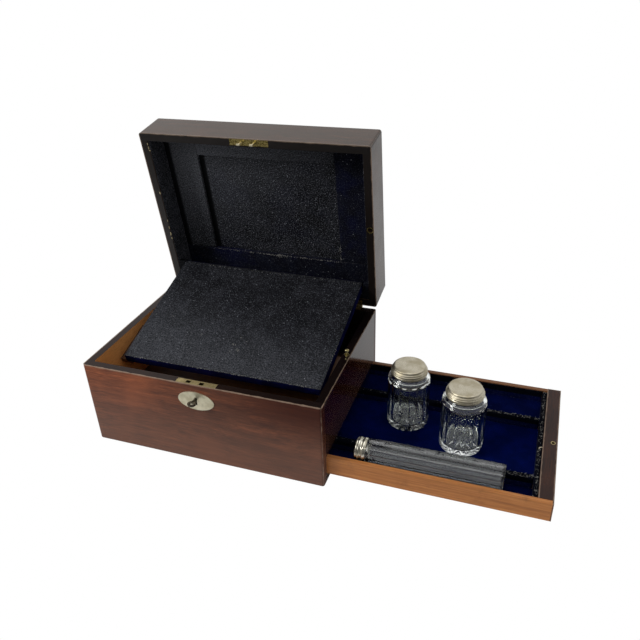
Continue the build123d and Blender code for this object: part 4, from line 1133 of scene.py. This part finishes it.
@dataclass
class Drawer:
    """The side drawer with its three velvet lanes."""

    body: str = "drawer"
    slot: str = "navy_velvet"
    end_pad: float = 0.006
    sag: float = 0.0026

    def build(self) -> None:
        """Dress the boards and lay the velvet."""
        limits = node_limits("drawer_end_board", Part.BASE)
        dress({"drawer_end_board": ROSEWOOD.material(
            "rosewood_drawer_end", Part.BASE, limits, Grain.ALONG_Y, 0.9, 0.3, 0.2)})
        PLAIN_WOOD.boards({
            "drawer_front_side": (Grain.ALONG_X, 1.22), "drawer_back_side": (Grain.ALONG_X, 0.5),
            "drawer_inner_end": (Grain.ALONG_Y, 0.6), "drawer_bottom": (Grain.ALONG_Y, 0.5)})
        lanes = WornVelvet(ground="#02072a", nap="#030b38", tint="#040826", fleck="#343c70", fray="#0c1230",
                           sheen="#1c30b8", gloss=0.01, speckle=0.06, fleck_share=0.05, tint_share=0.4,
                           fray_share=0.3)
        bright = replace(lanes, ground="#010830", nap="#020c44", tint="#010628", fleck="#1c2a78",
                         sheen="#0c28c0", speckle=0.04, fleck_share=0.02, tint_share=0.3)
        top = node_limits("front_divider", Part.BASE).high[2] / MM
        worn = WornVelvet(ground="#02072c", nap="#040b3a", tint="#040828", fleck="#6d6f74", fray="#55555a",
                          gloss=0.03, speckle=0.16, fleck_share=0.16, fray_share=0.5, fray_width=0.8,
                          dark=(2, top - 7.0, top - 5.5))
        for seed, (name, finish, crown) in enumerate((
                ("front_lane_pad", lanes, 0.0003), ("middle_lane_pad", bright, 0.0004),
                ("back_lane_pad", lanes, 0.0003))):
            limits = node_limits(name, Part.BASE)
            wider = limits.moved((-0.0004, -0.0004, 0.0), (0.0004, 0.0004, 0.0))
            shape = soft_slab(wider, 0.0004, 0.006, 0.0003, crown, seed * 5.0)
            finish.lay(shape, Part.BASE, limits, self.body, self.slot, name)
        for seed, name in enumerate(("front_divider", "back_divider")):
            limits = node_limits(name, Part.BASE)
            sunk = limits.moved((0.0, 0.0, -self.sag))
            shape = soft_slab(sunk, self.sag, 0.004, 0.0005, 0.0, seed * 9.0)
            worn.lay(shape, Part.BASE, limits, self.body, self.slot, name)
        self.lining(worn)
        self.lint()

    def lining(self, finish: WornVelvet) -> None:
        """Lay the velvet strips on the two long sides and the padded end.

        Args:
            finish: The velvet.
        """
        limits = node_limits("drawer_lining", Part.BASE)
        (x0, y0, z0), (x1, y1, z1) = limits.low, limits.high
        inner = x1 - self.end_pad
        shape = Shape()
        for box, rounding, wave, seed in (
                (Limits((x0, y0, z0), (inner, y0 + MM, z1)), 0.00045, 0.0003, 1.0),
                (Limits((x0, y1 - MM, z0), (inner, y1, z1)), 0.00045, 0.0003, 4.0),
                (Limits((inner, y0, z0), (x1, y1, z1)), 0.0022, 0.0004, 8.0)):
            shape.join(soft_slab(box, rounding, 0.004, wave, seed=seed))
        finish.lay(shape, Part.BASE, limits, self.body, self.slot, "drawer_lining")

    def lint(self) -> None:
        """Strew lint along the dividers' tops and the padded end, thicker near the end board."""
        strips, thick = Shape(), Shape()
        for name in ("front_divider", "back_divider"):
            limits = node_limits(name, Part.BASE)
            (x0, y0, _), (x1, y1, z1) = limits.low, limits.high
            strips.join(strip(x0 + 0.02, x1, y0 + 0.0012, y1 - 0.0012, z1 - LINT_LIFT))
            thick.join(strip(x1 - 0.075, x1, y0 + 0.0015, y1 - 0.0015, z1 - LINT_LIFT))
        limits = node_limits("drawer_lining", Part.BASE)
        (_, y0, _), (x1, y1, z1) = limits.low, limits.high
        end = strip(x1 - 0.0045, x1 - 0.0015, y0 + 0.002, y1 - 0.002, z1 - LINT_LIFT)
        strips.join(end)
        thick.join(end)
        Fibres(0.0026, 0.00015).strew("drawer_lint", strips, self.body, 4, 1.6)
        spots = [(0.3794, -0.0168, 0.0011, 0.0024), (0.3806, -0.0150, 0.0022, 0.0012),
                 (0.3824, -0.0142, 0.0024, 0.0010)]
        pale = LINT.material("pale_scratch", "#c9bfa8", "#a89c84")
        chips("drawer_scratch", Part.BASE, self.body, self.slot, pale, spots, z1, 3)
        Fibres(0.0024, 0.0002).strew("drawer_end_lint", thick, self.body, 6, 4.0)


@dataclass
class Jar:
    """A fluted glass jar with a silver cap."""

    name: str
    x: float
    y: float
    bottom: float = 0.0205
    radius: float = 0.026
    panels: int = 14
    flute: float = 0.0011
    body_height: float = 0.066
    shoulder: float = 0.005
    neck: float = 0.0184
    neck_height: float = 0.010
    mouth: float = 0.0154
    wall: float = 0.0024
    floor: float = 0.007
    crease: float = 22.0
    cap_top: float = 0.0012
    star_points: int = 16
    star_depth: float = 0.0007
    star_reach: float = 0.0212

    def glass(self) -> Shape:
        """The jar's glass: fluted outside, smooth inside, its base cut with a star."""
        top = self.body_height + self.shoulder
        outer = rounded_profile([
            (0.0, 0.0, 0.0), (0.004, 0.0, 0.0), (0.010, 0.0, 0.0), (0.016, 0.0, 0.0), (0.0205, 0.0, 0.0),
            (self.radius, 0.0, 0.0062), (self.radius, 0.0072, 0.0), (self.radius, 0.0086, 0.0),
            (self.radius, self.body_height - 0.0078, 0.0), (self.radius, self.body_height - 0.0062, 0.0),
            (self.radius, self.body_height + 0.0012, 0.0058),
            (self.neck + 0.0006, top, 0.0018), (self.neck, top + self.neck_height, 0.0006),
            (self.mouth, top + self.neck_height, 0.0006)], 8)
        body = turned(outer + self.bore(), 196, self.outside, self.star)
        return body.moved(Matrix.Translation((self.x, self.y, self.bottom)))

    def bore(self) -> list[tuple[float, float]]:
        """The inside of the jar, from the mouth down to the middle of its floor."""
        room = self.radius - self.wall
        top = self.body_height + self.shoulder
        return rounded_profile([
            (self.mouth, top + self.neck_height, 0.0), (self.mouth, top - 0.001, 0.002),
            (room, self.body_height - 0.003, 0.004), (room, self.floor, 0.005),
            (0.012, self.floor - 0.0002, 0.0), (0.0, self.floor + 0.0008, 0.0)], 8)

    def outside(self, radius: float, height: float, angle: float) -> float:
        """The radius of a place, cut by the flutes on the outside of the body only."""
        shoulder = self.body_height + self.shoulder
        if radius <= self.radius - self.wall + 1e-6 or height > shoulder:
            return radius
        foot, top = (min(1.0, max(0.0, (height - start) * way / 0.004))
                     for start, way in ((0.003, 1), (self.body_height - 0.0015, -1)))
        return fluted(radius, self.flute, self.panels, angle, foot * top)

    def star(self, radius: float, angle: float) -> float:
        """How deep the star in the base is cut at a place."""
        if not 0.001 < radius < self.star_reach:
            return 0.0
        wave = abs(((angle * self.star_points / (2 * math.pi)) % 1.0) - 0.5) * 2
        return self.star_depth * wave * min(1.0, radius / 0.010)

    def cap(self) -> Shape:
        """The cap: slightly domed, with two ring beads on its skirt."""
        r, t = 0.022, 0.011
        points = [(0.0, t, 0.0), (0.010, t - 0.0001, 0.0), (0.0176, t - 0.0004, 0.0006),
                  (0.0192, t - 0.0008, 0.0008), (0.0197, t - 0.0018, 0.0006), (0.0192, t - 0.0026, 0.0004),
                  (0.0200, t - 0.0032, 0.0006), (r - 0.0008, 0.0068, 0.0006), (r - 0.0012, 0.0060, 0.0004),
                  (r, 0.0053, 0.0007), (r, 0.0040, 0.0007), (r - 0.0012, 0.0033, 0.0005),
                  (r, 0.0026, 0.0006), (r, 0.0014, 0.0006), (r - 0.0008, 0.0008, 0.0004),
                  (r - 0.0004, 0.0, 0.0003), (0.0188, 0.0, 0.0002), (0.0188, t - 0.0035, 0.0005),
                  (0.0180, t - 0.0016, 0.0005), (0.0, t - 0.0012, 0.0)]
        shape = turned(rounded_profile(points, 5), 112)
        top = self.bottom + self.body_height + self.shoulder + self.neck_height + CAP_GAP + self.cap_top
        return shape.moved(Matrix.Translation((self.x, self.y, top - t)))

    def build(self) -> None:
        """Make the jar and its cap."""
        glass = self.glass().piece(f"{self.name}_cut_glass", GLASS.material(f"clear_glass_{self.name}"),
                                   self.name, "glass", self.crease)
        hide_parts(f"{self.name}_glass")
        silver = SILVER.material(f"tarnished_silver_{self.name}")
        cap = self.cap().piece(f"{self.name}_silver_cap", silver, f"{self.name}_cap", "silver", SILVER_CREASE)
        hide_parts(f"{self.name}_cap")


@dataclass
class Tube:
    """The long fluted glass tube with its silver cap, lying along the drawer."""

    right: float = 0.3476
    y: float = -0.08147
    z: float = 0.04025
    radius: float = 0.015
    panels: int = 16
    flute: float = 0.0005
    length: float = 0.152
    neck: float = 0.0116
    neck_length: float = 0.013
    mouth: float = 0.0092
    crease: float = 18.0
    cap_top: float = 0.001

    def place(self) -> Matrix:
        """The matrix that lays an upright piece along the drawer, its closed end at the right."""
        return Matrix.Translation((self.right, self.y, self.z)) @ Matrix.Rotation(math.radians(-90), 4, "Y")

    def outside(self, radius: float, height: float, angle: float) -> float:
        """The radius of a place, cut by the flutes on the outside of the body only."""
        if radius < self.radius - 0.0025 or height > self.length:
            return radius
        return fluted(radius, self.flute, self.panels, angle)

    def glass(self) -> Shape:
        """The tube's glass with its thick end."""
        room, top = self.radius - 0.0022, self.length
        outer = rounded_profile([
            (0.0, 0.0, 0.0), (0.010, 0.0, 0.0), (self.radius, 0.0, 0.0030), (self.radius, top, 0.002),
            (self.neck, top + 0.001, 0.001), (self.neck, top + self.neck_length, 0.0006),
            (self.mouth, top + self.neck_length, 0.0006)], 6)
        inner = rounded_profile([
            (self.mouth, top + self.neck_length, 0.0), (self.mouth, top, 0.001), (room, top - 0.003, 0.003),
            (room, 0.0030, 0.0022), (0.0, 0.0026, 0.0)], 6)
        return turned(outer + inner, 192, self.outside).moved(self.place())

    def cap(self) -> Shape:
        """The cap: two bright rings on a plain skirt."""
        r, t = 0.0146, 0.0135
        points = [(0.0, t, 0.0), (0.009, t - 0.0001, 0.0), (0.0125, t - 0.0004, 0.0006),
                  (r - 0.0007, t - 0.0016, 0.001), (r - 0.0008, 0.0100, 0.0004), (r, 0.0092, 0.0008),
                  (r, 0.0074, 0.0008), (r - 0.0010, 0.0064, 0.0008), (r - 0.0010, 0.0048, 0.0008),
                  (r, 0.0038, 0.0008), (r, 0.0018, 0.0008), (r - 0.0007, 0.0008, 0.0005),
                  (r - 0.0005, 0.0, 0.0003), (0.0120, 0.0, 0.0002), (0.0120, t - 0.0011, 0.0004),
                  (0.0, t - 0.0010, 0.0)]
        shift = self.length + self.neck_length + CAP_GAP + self.cap_top - t
        return turned(rounded_profile(points, 5), 96).moved(self.place() @ Matrix.Translation((0, 0, shift)))

    def build(self) -> None:
        """Make the tube and its cap."""
        clear = CutGlass(tint="#e9ebed").material("clear_glass_tube")
        glass = self.glass().piece("tube_cut_glass", clear, "tube", "glass", self.crease)
        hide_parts("tube_glass")
        silver = OldMetal(clean="#dcd8ca", tarnish="#a8a08a", roughness=0.16).material("bright_silver_tube")
        cap = self.cap().piece("tube_silver_cap", silver, "tube_cap", "silver", SILVER_CREASE)
        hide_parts("tube_cap")


@dataclass
class Studio:
    """The white surround, the soft lights and the camera at the photograph's place."""

    eye: Triple = (0.34886, -0.64428, 0.54828)
    right: Triple = (0.94270689, 0.3316802, -0.03594384)
    up: Triple = (-0.14044632, 0.49227172, 0.85903631)
    back: Triple = (0.30261947, -0.80477127, 0.51065121)
    focal_px: float = 663.67
    centre_px: tuple[float, float] = (315.31, 329.84)
    frame_px: float = 640.0
    sensor_mm: float = 36.0
    aim: Triple = (0.05, 0.0, 0.1)
    # where a lamp hangs, the length of its side and its power
    window: tuple[Triple, float, float] = ((-1.5, -0.95, 1.35), 0.8, 34.0)
    ceiling: tuple[Triple, float, float] = ((0.1, 0.2, 2.2), 1.6, 8.0)
    # how far round a light's direction the slope from bright to dim reaches
    spread: float = 0.9
    # the direction of a light's brightest place, and its strength away from it and there
    soft_light: tuple[Triple, float, float] = ((-0.60, -0.45, 0.66), 0.10, 0.64)
    mirrored_light: tuple[Triple, float, float] = ((-0.25, 0.80, 0.40), 0.10, 0.85)
    # from this Y to this Y the paper turns from this white to this white, and glass shows some of it
    paper: tuple[float, float, float, float] = (-0.34, -0.15, 0.12, 0.85)
    paper_in_glass: float = 0.3
    reach: float = 6.0

    def world(self) -> None:
        """A surround that is white to the camera, brighter from the window and behind for the rest."""
        world = bpy.data.worlds.new("white_room")
        world.use_nodes = True
        n = Nodes(world.node_tree)
        rays = n.add("ShaderNodeLightPath", out=None).outputs
        place = n.add("ShaderNodeTexCoord", out="Generated")
        white = (1, 1, 1, 1)
        plain = n.add("ShaderNodeBackground", {"Color": white})
        lights = []
        for way, low, high in (self.soft_light, self.mirrored_light):
            towards = n.add("ShaderNodeVectorMath", {0: place, 1: Vector(way).normalized()}, "Value",
                            operation="DOT_PRODUCT")
            strength = n.fade(towards, -self.spread, self.spread, low, high)
            lights.append(n.add("ShaderNodeBackground", {"Color": white, "Strength": strength}))
        last, mirrored = lights
        for ray, ground in (("Is Glossy Ray", mirrored), ("Is Transmission Ray", plain),
                            ("Is Camera Ray", plain)):
            last = n.add("ShaderNodeMixShader", {0: rays[ray], 1: last, 2: ground})
        n.add("ShaderNodeOutputWorld", {0: last}, None)
        bpy.context.scene.world = world

    def floor(self) -> None:
        """A wide floor, plain white to the camera, and matt paper, paler behind, to everything else."""
        mesh = bpy.data.meshes.new("floor")
        reach = self.reach
        mesh.from_pydata([(-reach, -reach, 0), (reach, -reach, 0), (reach, reach, 0), (-reach, reach, 0)],
                         [], [(0, 1, 2, 3)])
        floor = put("floor", mesh)
        material = bpy.data.materials.new("white_paper_floor")
        material.use_nodes = True
        n = Nodes(material.node_tree)
        rays = n.add("ShaderNodeLightPath", out=None).outputs
        along = n.split(n.add("ShaderNodeTexCoord", out="Object"))[1]
        matt = n.add("ShaderNodeBsdfDiffuse", {"Color": n.fade(along, *self.paper)})
        seen = n.add("ShaderNodeMath", {0: rays["Is Transmission Ray"], 1: self.paper_in_glass,
                                        2: rays["Is Camera Ray"]}, operation="MULTIPLY_ADD", use_clamp=True)
        mixed = n.add("ShaderNodeMixShader", {0: seen, 1: matt, 2: n.add("ShaderNodeEmission")})
        n.add("ShaderNodeOutputMaterial", {0: mixed}, None)
        mesh.materials.append(material)

    def lamp(self, name: str, place: Triple, size: float, power: float) -> None:
        """Hang a soft square lamp that faces the box.

        Args:
            name: The lamp's name.
            place: Where it hangs, in metres.
            size: The length of its side.
            power: Its power in watts.
        """
        data = bpy.data.lights.new(name, "AREA")
        data.energy, data.size = power, size
        lamp = put(name, data)
        lamp.location = place
        lamp.rotation_euler = (Vector(self.aim) - Vector(place)).to_track_quat("-Z", "Y").to_euler()

    def camera(self) -> None:
        """Put the camera where the photograph was taken from."""
        data = bpy.data.cameras.new("camera")
        data.sensor_width = self.sensor_mm
        data.lens = self.focal_px * data.sensor_width / self.frame_px
        data.shift_x = (self.frame_px / 2 - self.centre_px[0]) / self.frame_px
        data.shift_y = (self.centre_px[1] - self.frame_px / 2) / self.frame_px
        camera = put("camera", data)
        turn = Matrix((self.right, self.up, self.back)).transposed().to_4x4()
        camera.matrix_world = Matrix.Translation(self.eye) @ turn
        bpy.context.scene.camera = camera

    def build(self) -> None:
        """Set the studio up."""
        self.world()
        self.floor()
        self.lamp("window_left", *self.window)
        self.lamp("ceiling", *self.ceiling)
        self.camera()
        bpy.context.scene.view_settings.view_transform = "Standard"


def main() -> None:
    """Build the writing box's looks and its studio."""
    logging.basicConfig(level=logging.INFO, format="%(message)s")
    parts = [Base(), Fittings(), Lid(), Flap(), Drawer(), Jar("jar_1", 0.2208, 0.0117),
             Jar("jar_2", 0.2912, -0.0146), Tube(), Studio()]
    for part in parts:
        log.info("building %s", type(part).__name__)
        part.build()


if __name__ == "__main__":
    main()
